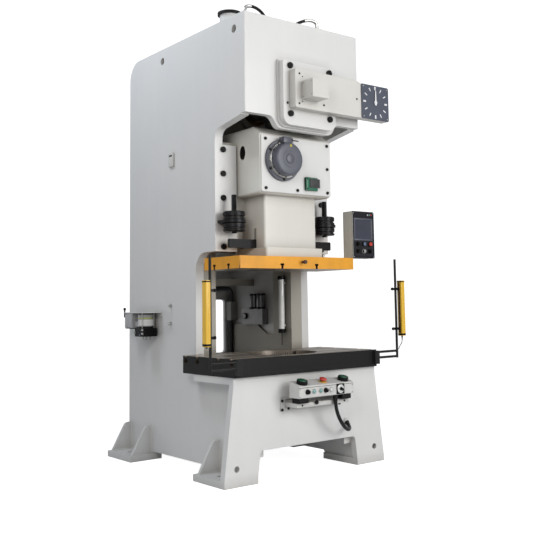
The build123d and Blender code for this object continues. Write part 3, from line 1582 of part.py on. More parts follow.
def cord_tube(points, radius):
    """Tube along straight runs, each corner rounded as far as its two runs allow."""
    corner_radii = []
    for before, here, after in zip(points, points[1:], points[2:]):
        run_in, run_out = Vector(*here) - Vector(*before), Vector(*after) - Vector(*here)
        half_turn = radians(run_in.get_angle(run_out)) / 2
        corner_radii.append(0.45 * min(run_in.length, run_out.length) / tan(half_turn))
    with BuildPart() as tube:
        with BuildLine() as route:
            FilletPolyline(*points, radius=corner_radii)
        with BuildSketch(Plane(origin=points[0], z_dir=Vector(*points[1]) - Vector(*points[0]))):
            Circle(radius)
        sweep(path=route.wires()[0])
    length = route.wires()[0].length
    print("cord", round(length), "mm, radii", [round(r) for r in corner_radii],
          "volume", round(tube.part.volume / (pi * radius ** 2 * length), 4))
    return tube


# Control cable: from the box down in one loop and into the bed plate
control_cable = cord_tube([
    (cable_start[0], bed_face + cable_start[1], control_low - cable_gland[1]),
    (cable_start[0], bed_face + cable_start[1], 466),
    (126, bed_face - 147, 402),
    (164, bed_face - 139, 342),
    (218, bed_face - 122, 294),
    (276, bed_face - 92, 272),
    (cable_last[0], bed_face + cable_last[1], cable_last[2]),
    (cable_end[0], bed_face + cable_end[1], cable_end[2]),
], cable_radius)
control_cable.part.label = "control_cable"
export_step(control_cable.part, "parts/control_cable.step")

# Roof hose: out of one socket of the top plate, down to the plate and up to the other socket
socket_top = top_outer + hose_fitting[1]
roof_hose = cord_tube([
    (hose_ends[0], hose_y, socket_top),
    (hose_ends[0], hose_y, socket_top + 50),
    (hose_ends[0] + 32, hose_y + 2, socket_top + 104),
    (hose_ends[0] + 96, hose_y + 8, socket_top + 118),
    (hose_ends[0] + 164, hose_y + 18, socket_top + 84),
    (hose_ends[0] + 228, hose_y + 28, socket_top + 24),
    (hose_ends[0] + 300, hose_y + 36, socket_top - 16),
    (hose_ends[0] + 370, hose_y + 40, socket_top - 20),
    (hose_ends[0] + 444, hose_y + 36, socket_top + 18),
    (hose_ends[0] + 510, hose_y + 28, socket_top + 74),
    (hose_ends[1] - 76, hose_y + 16, socket_top + 114),
    (hose_ends[1] - 16, hose_y + 6, socket_top + 102),
    (hose_ends[1], hose_y, socket_top + 50),
    (hose_ends[1], hose_y, socket_top),
], hose_radius)
roof_hose.part.label = "roof_hose"
export_step(roof_hose.part, "parts/roof_hose.step")

# Poles of the light curtains: bracket block on the bolster, two arms and the upright
pole_y = bed_face + pole_depth
with BuildPart() as curtain_poles:
    for side in (-1, 1):
        block_x = sorted((side * (bolster_width / 2 - bracket_block[0] + 3), side * (bolster_width / 2 + 3)))
        block(block_x, (bolster_front - bracket_block[1], bolster_front),
              (bolster_height - bracket_block[2] - 8, bolster_height - 8))
        for height in arm_heights:
            round_x(pole_y, height, sorted((side * (bolster_width / 2 - 10), side * pole_x)), pole_radius)
        round_z(side * pole_x, pole_y, (pole_low, pole_low + pole_length), pole_radius)
curtain_poles.part.label = "curtain_poles"
export_step(curtain_poles.part, "parts/curtain_poles.step")

# Light curtains, clamped on their poles
for side, name in ((-1, "light_curtain_left"), (1, "light_curtain_right")):
    with BuildPart() as curtain:
        middle_x = side * (pole_x + curtain_offset)
        middle_y = pole_y - curtain_front
        with BuildSketch(Plane.XY.offset(curtain_low)):
            with Locations((middle_x, middle_y)):
                RectangleRounded(curtain_width, curtain_depth, 6)
        extrude(amount=curtain_high - curtain_low)
        round_z(middle_x, middle_y, (curtain_low - curtain_gland[1], curtain_low), curtain_gland[0])
        for height in clamp_heights:
            z_range = (height - clamp_height / 2, height + clamp_height / 2)
            block(sorted((side * (pole_x - 16), middle_x - side * curtain_width / 2)),
                  (pole_y - 16, pole_y + 16), z_range)
            round_z(side * pole_x, pole_y, (z_range[0] - 1, z_range[1] + 1), pole_radius + slip,
                    mode=Mode.SUBTRACT)
            round_x(pole_y, height, sorted((side * (pole_x - 34), side * (pole_x - 16))), 7)
    curtain.part.label = name
    export_step(curtain.part, f"parts/{name}.step")

# Thin cable of the right light curtain, out of its gland and along the pole
gland_low = curtain_low - curtain_gland[1]
curtain_x = pole_x + curtain_offset
curtain_y = pole_y - curtain_front
curtain_cable = cord_tube([
    (curtain_x, curtain_y, gland_low),
    (curtain_x, curtain_y, gland_low - 19),
    (curtain_x, curtain_y + 4, gland_low - 39),
    (curtain_x - 8, curtain_y + 9, gland_low - 56),
    (curtain_x - 18, curtain_y + 14, gland_low - 72),
    (curtain_x - 24, curtain_y + 17, gland_low - 90),
], curtain_cable_radius)
curtain_cable.part.label = "curtain_cable"
export_step(curtain_cable.part, "parts/curtain_cable.step")

# Panel arm: hinge pin in the lugs, bent tube and riser
riser_x, riser_y = side_outer + arm_riser[0], bed_face + arm_riser[1]
with BuildPart() as panel_arm:
    with BuildLine() as arm_route:
        FilletPolyline((post_x, post_y, lug_heights[0] - lug_thickness / 2 - seat_gap),
                       (post_x, post_y, arm_height), (riser_x, riser_y, arm_height),
                       (riser_x, riser_y, panel_z[0] - seat_gap), radius=arm_bend)
    with BuildSketch(Plane(origin=arm_route.wires()[0] @ 0, z_dir=(0, 0, -1))):
        Circle(arm_radius)
    sweep(path=arm_route.wires()[0])
    sleeve_gap = lug_thickness / 2 + seat_gap
    round_z(post_x, post_y, (lug_heights[0] + sleeve_gap, lug_heights[1] - sleeve_gap), arm_radius + 6)
    round_z(post_x, post_y, (lug_heights[0] - lug_thickness, lug_heights[1] + lug_thickness), arm_pin_radius)
    round_z(riser_x, riser_y, (panel_z[0] - 12, panel_z[0] - seat_gap), arm_radius + 8)
    round_z(riser_x, riser_y, (panel_z[0] - 12, panel_z[0] + 30), arm_pin_radius)
panel_arm.part.label = "panel_arm"
export_step(panel_arm.part, "parts/panel_arm.step")

# Touch panel: folded box with a recessed screen and two rows of knobs
panel_front = bed_face + panel_depths[0]
panel_back = bed_face + panel_depths[1]
with BuildPart() as panel_box:
    block(panel_x, (panel_front, panel_back), panel_z)
    fillet(panel_box.edges().filter_by(Axis.Y), panel_radius)
    block((panel_x[0] + sheet, panel_x[1] - sheet), (panel_front + 2 * sheet, panel_back - sheet),
          (panel_z[0] + 36, panel_z[1] - sheet), mode=Mode.SUBTRACT)
    panel_middle = (panel_x[0] + panel_x[1]) / 2
    block((panel_middle - screen_half_width, panel_middle + screen_half_width),
          (panel_front - 1, panel_front + screen_recess),
          (panel_z[1] - screen_drops[0], panel_z[1] - screen_drops[1]), mode=Mode.SUBTRACT)
    for rise in panel_knob_rises:
        for across in (-panel_knob_pitch, 0, panel_knob_pitch):
            round_y(panel_middle + across, panel_z[0] + rise, (panel_front - panel_knob_height, panel_front),
                    knob_radius)
    round_z(riser_x, riser_y, (panel_z[0] - 1, panel_z[0] + 34), arm_pin_radius + slip, mode=Mode.SUBTRACT)
panel_box.part.label = "panel_box"
export_step(panel_box.part, "parts/panel_box.step")

# Lubricator on the left side plate: bracket, pump base, reservoir and motor
lube_x = -side_outer - lube_gap
base_half, motor_half, duct_half = lube_half_widths
pin_z = lube_bracket_z[0] - lube_pin_drop
with BuildPart() as lubricator:
    block((-side_outer - lube_bracket_reach, -side_outer), (bed_face + lube_y[0], bed_face + lube_y[1]),
          (lube_bracket_z[0], lube_bracket_z[0] + 6))
    block((-side_outer - 6, -side_outer), (bed_face + lube_y[0], bed_face + lube_y[1]),
          (lube_bracket_z[0] - 30, lube_bracket_z[1]))
    round_z(lube_x, bed_face + reservoir[0], (reservoir[2], lube_bracket_z[0]), reservoir[1])
    block((lube_x - base_half, lube_x + base_half), (bed_face + lube_base[0], bed_face + lube_base[1]),
          (lube_base[2], reservoir[2]))
    block((lube_x - motor_half, lube_x + motor_half), (bed_face + lube_motor[0], bed_face + lube_motor[1]),
          (lube_motor[2], lube_bracket_z[0]))
    block((lube_x - duct_half, lube_x + duct_half),
          (bed_face + lube_base[1] - 1, bed_face + lube_motor[0] + 1),
          (lube_motor[2] + 10, lube_motor[2] + 50))
    for across in lube_outlet_x:
        round_z(lube_x + across, bed_face + lube_base[0] + 60,
                (lube_base[2] - lube_outlet_length, lube_base[2] + 1), lube_outlet_radius)
    round_x(bed_face + lube_lever_y, pin_z, (lube_x - 12, lube_x + 12), 9)
    block((lube_x - 12, lube_x + 12), (bed_face + lube_motor[1] - 1, bed_face + lube_lever_y),
          (pin_z - 9, pin_z + 9))
    round_x(bed_face + lube_lever_y, pin_z, (lube_x - 40, lube_x + 13), lube_pin_radius + slip,
            mode=Mode.SUBTRACT)
lubricator.part.label = "lubricator"
export_step(lubricator.part, "parts/lubricator.step")

# Hand lever of the lubricator
with BuildPart() as lube_lever:
    pivot_y, pivot_z = bed_face + lube_lever_y, pin_z
    round_x(pivot_y, pivot_z, (lube_x - 30, lube_x + 12), lube_pin_radius)
    round_x(pivot_y, pivot_z, (lube_x - 22, lube_x - 12 - seat_gap), 10)
    block((lube_x - 20, lube_x - 14), (pivot_y, pivot_y + 34), (pivot_z - 4, pivot_z + 4))
    round_z(lube_x - 17, pivot_y + 34, (pivot_z - 4, pivot_z + lube_lever_length), 6)
lube_lever.part.label = "lube_lever"
export_step(lube_lever.part, "parts/lube_lever.step")

# Air service unit on the inner face of the right side plate
with BuildPart() as air_unit:
    block((side_inner - air_reach, side_inner), (bed_face + air_depths[0], bed_face + air_depths[1]), air_z)
    for depth in air_bowl_depths:
        round_z(side_inner - air_reach / 2 - 8, bed_face + depth, (air_z[1], air_z[1] + air_bowl_height),
                air_bowl_radius)
air_unit.part.label = "air_unit"
export_step(air_unit.part, "parts/air_unit.step")

# Junction box on the rear plate, with one conduit down and one across to the left side plate
junction_middle = (junction_x[0] + junction_x[1]) / 2
crossing_y = rear_inner - junction_depth / 2
crossing_z = junction_z[1] + junction_conduit_rise
with BuildPart() as junction_box:
    block(junction_x, (rear_inner - junction_depth, rear_inner), junction_z)
    round_z(junction_middle, rear_inner - 22, (side_plate_lift + 80, junction_z[0]), conduit_radius)
    with BuildLine() as crossing:
        FilletPolyline(
            (junction_middle, crossing_y, junction_z[1]),
            (junction_middle, crossing_y, crossing_z),
            (-side_inner, crossing_y, crossing_z),
            radius=2.5 * conduit_radius,
        )
    with BuildSketch(Plane(origin=crossing.wires()[0] @ 0, z_dir=(0, 0, 1))):
        Circle(conduit_radius)
    sweep(path=crossing.wires()[0])
junction_box.part.label = "junction_box"
export_step(junction_box.part, "parts/junction_box.step")

# Work lamp: upright tube with end caps, held by two clips on the column box
tube_y = bed_face + tube_depth
tube_low = bolster_height + tube_rise
tube_high = tube_low + tube_length
clip_half_depth, clip_half_height, clip_inset = tube_clip
with BuildPart() as work_lamp:
    round_z(tube_x, tube_y, (tube_low, tube_high), tube_radius)
    round_z(tube_x, tube_y, (tube_low - tube_cap_length, tube_low + 4), tube_cap_radius)
    round_z(tube_x, tube_y, (tube_high - 4, tube_high + tube_cap_length), tube_cap_radius)
    for height in (tube_low + clip_inset, tube_high - clip_inset):
        block((tube_x, column_inner), (tube_y - clip_half_depth, tube_y + clip_half_depth),
              (height - clip_half_height, height + clip_half_height))
    lead_top = tube_low - tube_cap_length
    round_z(tube_x, tube_y, (lead_top - tube_lead[1], lead_top), tube_lead[0])
work_lamp.part.label = "work_lamp"
export_step(work_lamp.part, "parts/work_lamp.step")

# Vent stack on the crown, a thin sheet tube with a rolled rim
vent_top = top_outer + vent_height
with BuildPart() as vent_stack:
    round_z(vent_x, vent_y, (top_outer, vent_top), vent_radius)
    round_z(vent_x, vent_y, (vent_top - vent_rim_height, vent_top), vent_rim_radius)
    round_z(vent_x, vent_y, (top_outer, top_outer + 8), vent_radius + vent_flange)
    with Locations((vent_x, vent_y, top_outer + 8)):
        with PolarLocations(vent_radius + vent_flange / 2, 6):
            Cylinder(6, 5, align=(Align.CENTER, Align.CENTER, Align.MIN))
    round_z(vent_x, vent_y, (top_outer - 1, vent_top + 1), vent_radius - sheet, mode=Mode.SUBTRACT)
vent_stack.part.label = "vent_stack"
export_step(vent_stack.part, "parts/vent_stack.step")
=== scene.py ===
from math import atan2, cos, pi, radians, sin

import bmesh
import bpy
from mathutils import Matrix, Vector


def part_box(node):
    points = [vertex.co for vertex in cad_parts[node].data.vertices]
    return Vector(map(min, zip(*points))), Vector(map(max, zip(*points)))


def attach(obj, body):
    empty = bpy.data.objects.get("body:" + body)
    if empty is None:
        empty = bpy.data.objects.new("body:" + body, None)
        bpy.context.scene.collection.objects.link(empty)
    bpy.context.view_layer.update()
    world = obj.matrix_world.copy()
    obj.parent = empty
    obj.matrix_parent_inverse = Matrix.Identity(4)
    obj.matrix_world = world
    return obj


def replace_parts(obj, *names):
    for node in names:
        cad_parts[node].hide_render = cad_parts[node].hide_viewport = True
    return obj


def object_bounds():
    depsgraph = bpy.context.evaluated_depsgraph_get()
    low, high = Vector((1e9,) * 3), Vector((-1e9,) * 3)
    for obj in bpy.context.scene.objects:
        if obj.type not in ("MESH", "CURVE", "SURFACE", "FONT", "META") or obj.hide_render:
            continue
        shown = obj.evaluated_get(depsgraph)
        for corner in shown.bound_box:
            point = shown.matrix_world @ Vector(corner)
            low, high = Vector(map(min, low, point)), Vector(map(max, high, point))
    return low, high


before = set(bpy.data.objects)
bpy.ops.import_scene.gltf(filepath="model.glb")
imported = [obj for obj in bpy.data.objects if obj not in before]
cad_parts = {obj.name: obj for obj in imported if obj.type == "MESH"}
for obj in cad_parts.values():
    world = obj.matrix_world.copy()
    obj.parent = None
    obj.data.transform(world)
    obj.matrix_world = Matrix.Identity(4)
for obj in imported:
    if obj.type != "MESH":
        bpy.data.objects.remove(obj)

cad_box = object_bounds()
scene = bpy.context.scene
for name in ("Cube", "Light", "Camera"):
    if name in bpy.data.objects:
        bpy.data.objects.remove(bpy.data.objects[name])


# The photographer stood off the press's left front corner and looked slightly up at the crown.
# Long lens, camera held a little tilted, and the frame cropped so that its middle moved.
def set_up(name, data):
    """Object with that data, in the scene."""
    made = bpy.data.objects.new(name, data)
    scene.collection.objects.link(made)
    return made


camera_place = Vector((-3.668, -5.305, 1.168))
camera_heading, camera_pitch, camera_roll = 0.690, 0.0992, -0.0186
lens_pixels = 835.7
lens_middle = (310.3, 217.4)
image_width, image_height = 534, 536
sensor = 36.0
sight = Vector((sin(camera_heading) * cos(camera_pitch), cos(camera_heading) * cos(camera_pitch),
                sin(camera_pitch)))
level = Vector((cos(camera_heading), -sin(camera_heading), 0))
upward = level.cross(sight)
right = level * cos(camera_roll) + upward * sin(camera_roll)
upward = upward * cos(camera_roll) - level * sin(camera_roll)
camera = set_up("camera", bpy.data.cameras.new("camera"))
camera.data.sensor_width = sensor
camera.data.lens = lens_pixels / image_height * sensor
camera.data.shift_x = (image_width / 2 - lens_middle[0]) / image_height
camera.data.shift_y = (lens_middle[1] - image_height / 2) / image_height
camera.data.clip_end = 200
camera.matrix_world = Matrix.Translation(camera_place) @ Matrix((right, upward, -sight)).transposed().to_4x4()
scene.camera = camera
scene.view_settings.view_transform = "Standard"


# A white studio: a pale floor that runs out into a white room, one large soft lamp to the right of
# the camera, a weaker one above, and two small fills from the left, one warm and one cool.
def plug(tree, node, values):
    """Each socket of the node is linked to an output or set to a value."""
    for label, value in values.items():
        if isinstance(value, bpy.types.NodeSocket):
            tree.links.new(value, node.inputs[label])
        else:
            node.inputs[label].default_value = value


def put(tree, kind, values=None, **settings):
    """A node of that kind in the tree, with its settings and the values of its sockets."""
    made = tree.nodes.new(kind)
    for key, value in settings.items():
        setattr(made, key, value)
    plug(tree, made, values or {})
    return made


def count(tree, operation, first, second, **settings):
    """Math node between outputs or plain numbers."""
    return put(tree, "ShaderNodeMath", {0: first, 1: second}, operation=operation, **settings).outputs[0]


def white_to_viewers(tree, seen_strength):
    """White light for the eye and for glass, dimmer for mirrors, and none elsewhere."""
    mirror_share = 0.4
    rays = put(tree, "ShaderNodeLightPath").outputs
    dimmed = count(tree, "MULTIPLY", rays["Is Glossy Ray"], mirror_share)
    either = count(tree, "MAXIMUM", count(tree, "MAXIMUM", rays["Is Camera Ray"], dimmed),
                   rays["Is Transmission Ray"])
    return count(tree, "MULTIPLY", either, seen_strength)


def new_finish(name):
    """An empty finish with its shader, ready to be dressed."""
    made = bpy.data.materials.new(name)
    made.use_nodes = True
    return made, made.node_tree, made.node_tree.nodes["Principled BSDF"]


def mesh_of(name, form, finishes):
    """Mesh from a bmesh, which is used up, with a slot for each finish."""
    mesh = bpy.data.meshes.new(name)
    form.to_mesh(mesh)
    form.free()
    for finish in finishes:
        mesh.materials.append(finish)
    return mesh


floor_finish, tree, shader = new_finish("studio_white")
plug(tree, shader, {"Base Color": (0.70, 0.70, 0.70, 1), "Roughness": 0.9, "Emission Color": (1, 1, 1, 1),
                    "Emission Strength": white_to_viewers(tree, 0.93)})
floor_form = bmesh.new()
bmesh.ops.create_circle(floor_form, cap_ends=True, segments=96, radius=60.0)
floor = set_up("studio_floor", mesh_of("studio_floor", floor_form, [floor_finish]))
floor.location.z = cad_box[0][2] - 0.0005

world = bpy.data.worlds.new("white_room")
world.use_nodes = True
scene.world = world
tree = world.node_tree
room = tree.nodes["Background"]
plug(tree, room, {"Color": (0.93, 0.95, 1.0, 1), "Strength": 0.15})
seen = put(tree, "ShaderNodeBackground", {"Color": (1, 1, 1, 1), "Strength": white_to_viewers(tree, 1.0)})
both = put(tree, "ShaderNodeAddShader", {0: room.outputs[0], 1: seen.outputs[0]})
plug(tree, tree.nodes["World Output"], {"Surface": both.outputs[0]})
for name, place, target, size, power, colour in (
        ("front_lamp", (1.9, -7.5, 3.0), (0, -0.6, 1.6), 3.6, 285, (1.0, 0.99, 0.97)),
        ("top_lamp", (1.6, -2.8, 6.2), (0, -0.2, 2.2), 2.6, 34, (0.97, 0.98, 1.0)),
        ("left_fill", (-4.0, -3.4, 3.2), (-0.2, -0.5, 1.9), 1.8, 70, (1.0, 0.975, 0.94)),
        ("high_fill", (-2.3, 0.8, 5.0), (-0.5, 0.2, 3.0), 1.0, 60, (0.86, 0.93, 1.0))):
    lamp = bpy.data.lights.new(name, "AREA")
    lamp.shape, lamp.size, lamp.energy, lamp.color = "SQUARE", size, power, colour
    aim = (Vector(target) - Vector(place)).to_track_quat("-Z", "Y")
    set_up(name, lamp).matrix_world = Matrix.Translation(place) @ aim.to_matrix().to_4x4()


# The frame is welded from flame-cut steel plates, ground at the seams, filled and sprayed with a
# pale two-pack enamel. It shows fine orange peel and faint cloudy patches, and its corners carry painted
# shade.
def srgb(red, green, blue):
    """Colour in linear light of a swatch that is given from 0 to 255."""
    return tuple(((c / 255 + 0.055) / 1.055) ** 2.4 if c > 10 else c / 255 / 12.92
                 for c in (red, green, blue)) + (1,)


def effect_group(name, inputs, outputs):
    """Shader node group with named sockets. Returns it with its given values and its result node."""
    group = bpy.data.node_groups.new(name, "ShaderNodeTree")
    for label, value in inputs.items():
        kind = "NodeSocketColor" if isinstance(value, tuple) else "NodeSocketFloat"
        group.interface.new_socket(name=label, in_out="INPUT", socket_type=kind).default_value = value
    for label in outputs:
        kind = "NodeSocketColor" if label == "Colour" else "NodeSocketFloat"
        group.interface.new_socket(name=label, in_out="OUTPUT", socket_type=kind)
    return group, put(group, "NodeGroupInput").outputs, put(group, "NodeGroupOutput")


def blend_colours(tree, share, first, second):
    """Mix of two colours by a share."""
    return put(tree, "ShaderNodeMix", {0: share, 6: first, 7: second}, data_type="RGBA").outputs[2]


def noise(tree, place, scale, **values):
    """Noise at a place, in a scale that may be an output."""
    return put(tree, "ShaderNodeTexNoise", {"Vector": place, "Scale": scale, **values}).outputs["Fac"]


def cloudy_paint():
    """Paint tone with cloudy patches, faint runs down the plates and a corner tone: painted shade on pale
    finishes, dust on dark ones.
    """
    group, given, result = effect_group("cloudy_paint", {
        "Paint": (1, 1, 1, 1), "Cloud": (1, 1, 1, 1), "Dust": (0, 0, 0, 1),
        "Patch": 2.0, "Clouds": 0.5, "Dirt": 0.5, "Reach": 0.1}, ["Colour"])
    place = put(group, "ShaderNodeTexCoord").outputs["Object"]
    patches = noise(group, place, given["Patch"], Detail=4)
    upright = put(group, "ShaderNodeMapping", {"Vector": place, "Scale": (9, 9, 0.5)}).outputs[0]
    runs = noise(group, upright, 1.3)
    uneven = count(group, "ADD", count(group, "MULTIPLY", patches, 0.7), count(group, "MULTIPLY", runs, 0.3))
    share = put(group, "ShaderNodeMapRange", {"Value": uneven, "From Min": 0.35, "From Max": 0.65}).outputs[0]
    tone = blend_colours(group, count(group, "MULTIPLY", share, given["Clouds"]),
                         given["Paint"], given["Cloud"])
    # Ambient occlusion marks the corners. The tone mixed in there is painted shade where it is darker than the
    # finish, and dust where it is lighter.
    corner = put(group, "ShaderNodeAmbientOcclusion", {"Distance": given["Reach"]}, samples=6)
    hidden = count(group, "SUBTRACT", 1.0, corner.outputs["AO"])
    speckle = count(group, "ADD", count(group, "MULTIPLY", patches, 0.8), 0.6)
    dust_and_shade_amount = count(group, "MULTIPLY", count(group, "MULTIPLY", hidden, speckle), given["Dirt"])
    limited = count(group, "MINIMUM", dust_and_shade_amount, 0.85)
    plug(group, result, {"Colour": blend_colours(group, limited, tone, given["Dust"])})
    return group


def skin_texture():
    """Fine surface unevenness, as a height and as a change of roughness."""
    group, given, result = effect_group("skin_texture", {"Grain": 300.0, "Roughness": 0.4, "Spread": 0.1},
                                        ["Height", "Roughness"])
    place = put(group, "ShaderNodeTexCoord").outputs["Object"]
    fine = noise(group, place, given["Grain"], Detail=2)
    coarse = noise(group, place, count(group, "MULTIPLY", given["Grain"], 0.04), Detail=5)
    swing = count(group, "MULTIPLY", count(group, "SUBTRACT", coarse, 0.5), given["Spread"])
    plug(group, result, {"Height": count(group, "ADD", fine, coarse),
                         "Roughness": count(group, "ADD", given["Roughness"], swing)})
    return group


def worn_edges():
    """Mask of the outer edges, where paint rubs through and steel shines."""
    group, given, result = effect_group("worn_edges", {"Width": 0.003, "Amount": 0.5}, ["Mask"])
    rounded = put(group, "ShaderNodeBevel", {"Radius": given["Width"]}, samples=6).outputs[0]
    true = put(group, "ShaderNodeNewGeometry").outputs["Normal"]
    along = put(group, "ShaderNodeVectorMath", {0: rounded, 1: true}, operation="DOT_PRODUCT")
    turned_away = count(group, "MULTIPLY", count(group, "SUBTRACT", 0.985, along.outputs["Value"]), 12.0)
    broken = noise(group, put(group, "ShaderNodeTexCoord").outputs["Object"], 45, Detail=6)
    chips = count(group, "MULTIPLY", count(group, "SUBTRACT", broken, 0.42), 6.0)
    mask = count(group, "MULTIPLY", turned_away, chips, use_clamp=True)
    plug(group, result, {"Mask": count(group, "MULTIPLY", mask, given["Amount"], use_clamp=True)})
    return group


paint_effect, skin_effect, edge_effect = cloudy_paint(), skin_texture(), worn_edges()


def effect(tree, group, **values):
    """Outputs of an effect in a finish, with its own values."""
    return put(tree, "ShaderNodeGroup", values, node_tree=group).outputs


def coated(name, paint, cloud, dust_and_shade, tone, skin, depth, edge=0.0, worn=None, values=None):
    """Finish of a cloudy tone and a fine skin over softened edges, worn through where that is given."""
    made, tree, shader = new_finish(name)
    colour = effect(tree, paint_effect, Paint=srgb(*paint), Cloud=srgb(*cloud), Dust=srgb(*dust_and_shade),
                    **tone)["Colour"]
    if worn:
        under, width, amount = worn
        rubbed = effect(tree, edge_effect, Width=width, Amount=amount)["Mask"]
        colour = blend_colours(tree, rubbed, colour, srgb(*under))
    grain = effect(tree, skin_effect, **skin)
    bump = put(tree, "ShaderNodeBump", {"Distance": depth, "Strength": 0.6, "Height": grain["Height"]})
    if edge:
        rounded = put(tree, "ShaderNodeBevel", {"Radius": edge}, samples=4)
        plug(tree, bump, {"Normal": rounded.outputs[0]})
    plug(tree, shader, {"Base Color": colour, "Roughness": grain["Roughness"], "Normal": bump.outputs[0],
                        **(values or {})})
    return made


def enamel(name, paint, cloud, dust_and_shade, dust_and_shade_amount=0.55, roughness=0.34, edge=0.0022):
    """Sprayed machine enamel: a satin coat over cloudy paint, with painted shade in its corners."""
    return coated(name, paint, cloud, dust_and_shade, dict(Patch=1.7, Clouds=0.55, Dirt=dust_and_shade_amount, Reach=0.09),
                  dict(Grain=260.0, Roughness=roughness, Spread=0.16), 0.00018, edge,
                  values={"Coat Weight": 0.25, "Coat Roughness": 0.12})


def coat_nodes(finish, *nodes):
    """Give CAD nodes that keep their own mesh a finish."""
    for node in nodes:
        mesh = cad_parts[node].data
        mesh.materials.clear()
        mesh.materials.append(finish)


frame_enamel = enamel("frame_enamel", (228, 228, 227), (219, 220, 222), (120, 112, 98))
coat_nodes(frame_enamel, "side_plate_left", "side_plate_right", "crown_front_plate", "crown_top_plate",
           "rear_plate", "bed_front_plate", "bed_top_plate", "feet")
# The throat's inner plates take a darker copy of the frame enamel, with heavier corner tone. This is painted
# shade for the dark throat.
shaded_inner_enamel = enamel("shaded_inner_enamel", (178, 174, 164), (164, 160, 150), (70, 64, 54), dust_and_shade_amount=1.1, roughness=0.45)
coat_nodes(shaded_inner_enamel, "inner_plates")


# The bolster is a planed steel slab with T slots. Its sides are sprayed black and its top is bare,
# ground metal with a grey-brown film of oil, bright lines of the planer and rubbed edges.
def new_piece(name, form, finishes, body, sharp=38.0):
    """Piece from a bmesh, its faces in the finishes by their number, riding on a body."""
    mesh = mesh_of(name, form, finishes)
    mesh.shade_smooth()
    mesh.set_sharp_from_angle(angle=radians(sharp))
    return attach(set_up(name, mesh), body)


def dressed(node, name, body, zones, bare=None):
    """Merged copy of a CAD node, each face in the last finish whose zone holds it, none where bare holds."""
    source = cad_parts[node].data
    form = bmesh.new()
    corners = [form.verts.new(v.co) for v in source.vertices]
    for flat in source.polygons:
        if len(set(flat.vertices)) == len(flat.vertices):
            form.faces.new([corners[i] for i in flat.vertices])
    bmesh.ops.remove_doubles(form, verts=form.verts, dist=2e-6)
    if bare:
        doomed = [face for face in form.faces if bare(face.calc_center_median())]
        bmesh.ops.delete(form, geom=doomed, context="FACES")
    for face in form.faces:
        middle = face.calc_center_median()
        for number, (finish, holds) in enumerate(zones):
            if holds is None or holds(middle, face.normal):
                face.material_index = number
    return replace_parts(new_piece(name, form, [finish for finish, holds in zones], body), node)


def ground_metal(name, light, dark, lines=(1.0, 60.0, 1.0), roughness=0.34, metal=0.9, oil=0.5):
    """Machined steel: fine lines one way, oil film in clouds, painted shade in corners."""
    made, tree, shader = new_finish(name)
    place = put(tree, "ShaderNodeTexCoord").outputs["Object"]
    stretched = put(tree, "ShaderNodeMapping", {"Vector": place, "Scale": lines}).outputs[0]
    cut = noise(tree, stretched, 8, Detail=6)
    tone = effect(tree, paint_effect, Paint=srgb(*light), Cloud=srgb(*dark), Dust=srgb(30, 26, 22),
                  Patch=3.0, Clouds=oil, Dirt=0.7, Reach=0.03)["Colour"]
    streak = put(tree, "ShaderNodeMix", {0: 0.35, 6: tone, 7: cut}, data_type="RGBA", blend_type="MULTIPLY")
    skin = effect(tree, skin_effect, Grain=90.0, Roughness=roughness, Spread=0.25)
    bump = put(tree, "ShaderNodeBump", {"Distance": 0.00012, "Height": cut})
    plug(tree, shader, {"Base Color": streak.outputs[2], "Metallic": metal,
                        "Roughness": skin["Roughness"], "Normal": bump.outputs[0]})
    return made


def worn_paint(name, paint, under, grain=180.0, roughness=0.38, amount=0.5, width=0.003,
               dust_and_shade=(90, 84, 76), metal=0.0):
    """Dark or bright paint that is rubbed through along its edges."""
    # The corner tone is painted shade on bright paints and dust on dark ones.
    return coated(name, paint, [0.82 * c for c in paint], dust_and_shade,
                  dict(Patch=5.0, Clouds=0.6, Dirt=0.35, Reach=0.04),
                  dict(Grain=grain, Roughness=roughness, Spread=0.2), 0.00015, 0.0012, (under, width, amount),
                  {"Metallic": metal, "Specular IOR Level": 0.22 if max(paint) < 60 else 0.5})


bolster_black = worn_paint("bolster_black", (11, 11, 13), (84, 80, 76), roughness=0.5, amount=0.3,
                           dust_and_shade=(40, 38, 36))
bolster_ground = ground_metal("bolster_ground", (172, 162, 150), (132, 122, 112), lines=(1.0, 40.0, 1.0))
low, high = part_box("bolster")
dressed("bolster", "bolster_slab", "frame", [
    (bolster_black, None),
    (bolster_ground, lambda p, n: n.z > 0.9 or low.x + 0.02 < p.x < high.x - 0.02 and p.y > low.y + 0.02
     and p.z > high.z - 0.06),
])

# The guides of the slide, behind the gib plates, are cast iron ways. They are planed and scraped,
# and carry an oily film.
way_iron = ground_metal("way_iron", (150, 148, 142), (104, 102, 98), lines=(40.0, 40.0, 1.0), roughness=0.4)
coat_nodes(way_iron, "guide_rails")


# The gib plates and the crank housing are held by black oxide socket screws with knurled heads.
# All small screws on the press are of the same kind, some of them zinc plated.
def socket_head(name, finish):
    """Head of a socket screw, one unit in radius and in height, standing on the ground plane."""
    sides, socket, groove = 30, 0.42, 0.045
    form = bmesh.new()
    rings = []
    for radius, height, depth in ((1.0, 0.0, groove), (1.0, 0.82, groove), (0.9, 1.0, 0),
                                  (socket * 1.12, 1.0, 0)):
        reach = [radius * (1 - depth * (i % 2)) for i in range(sides)]
        rings.append([form.verts.new((reach[i] * cos(2 * pi * i / sides), reach[i] * sin(2 * pi * i / sides),
                                      height)) for i in range(sides)])
    for height in (0.95, 0.45):
        corner = [pi / 3 * round(6 * i / sides) for i in range(sides)]
        rings.append([form.verts.new((socket * cos(angle), socket * sin(angle), height)) for angle in corner])
    for outer, inner in zip(rings, rings[1:]):
        for i in range(sides):
            j = (i + 1) % sides
            form.faces.new((outer[i], outer[j], inner[j], inner[i]))
    form.faces.new(rings[-1])
    form.faces.new(rings[0][::-1])
    bmesh.ops.remove_doubles(form, verts=form.verts, dist=1e-5)
    return bpy.data.objects.new(name, mesh_of(name, form, [finish]))


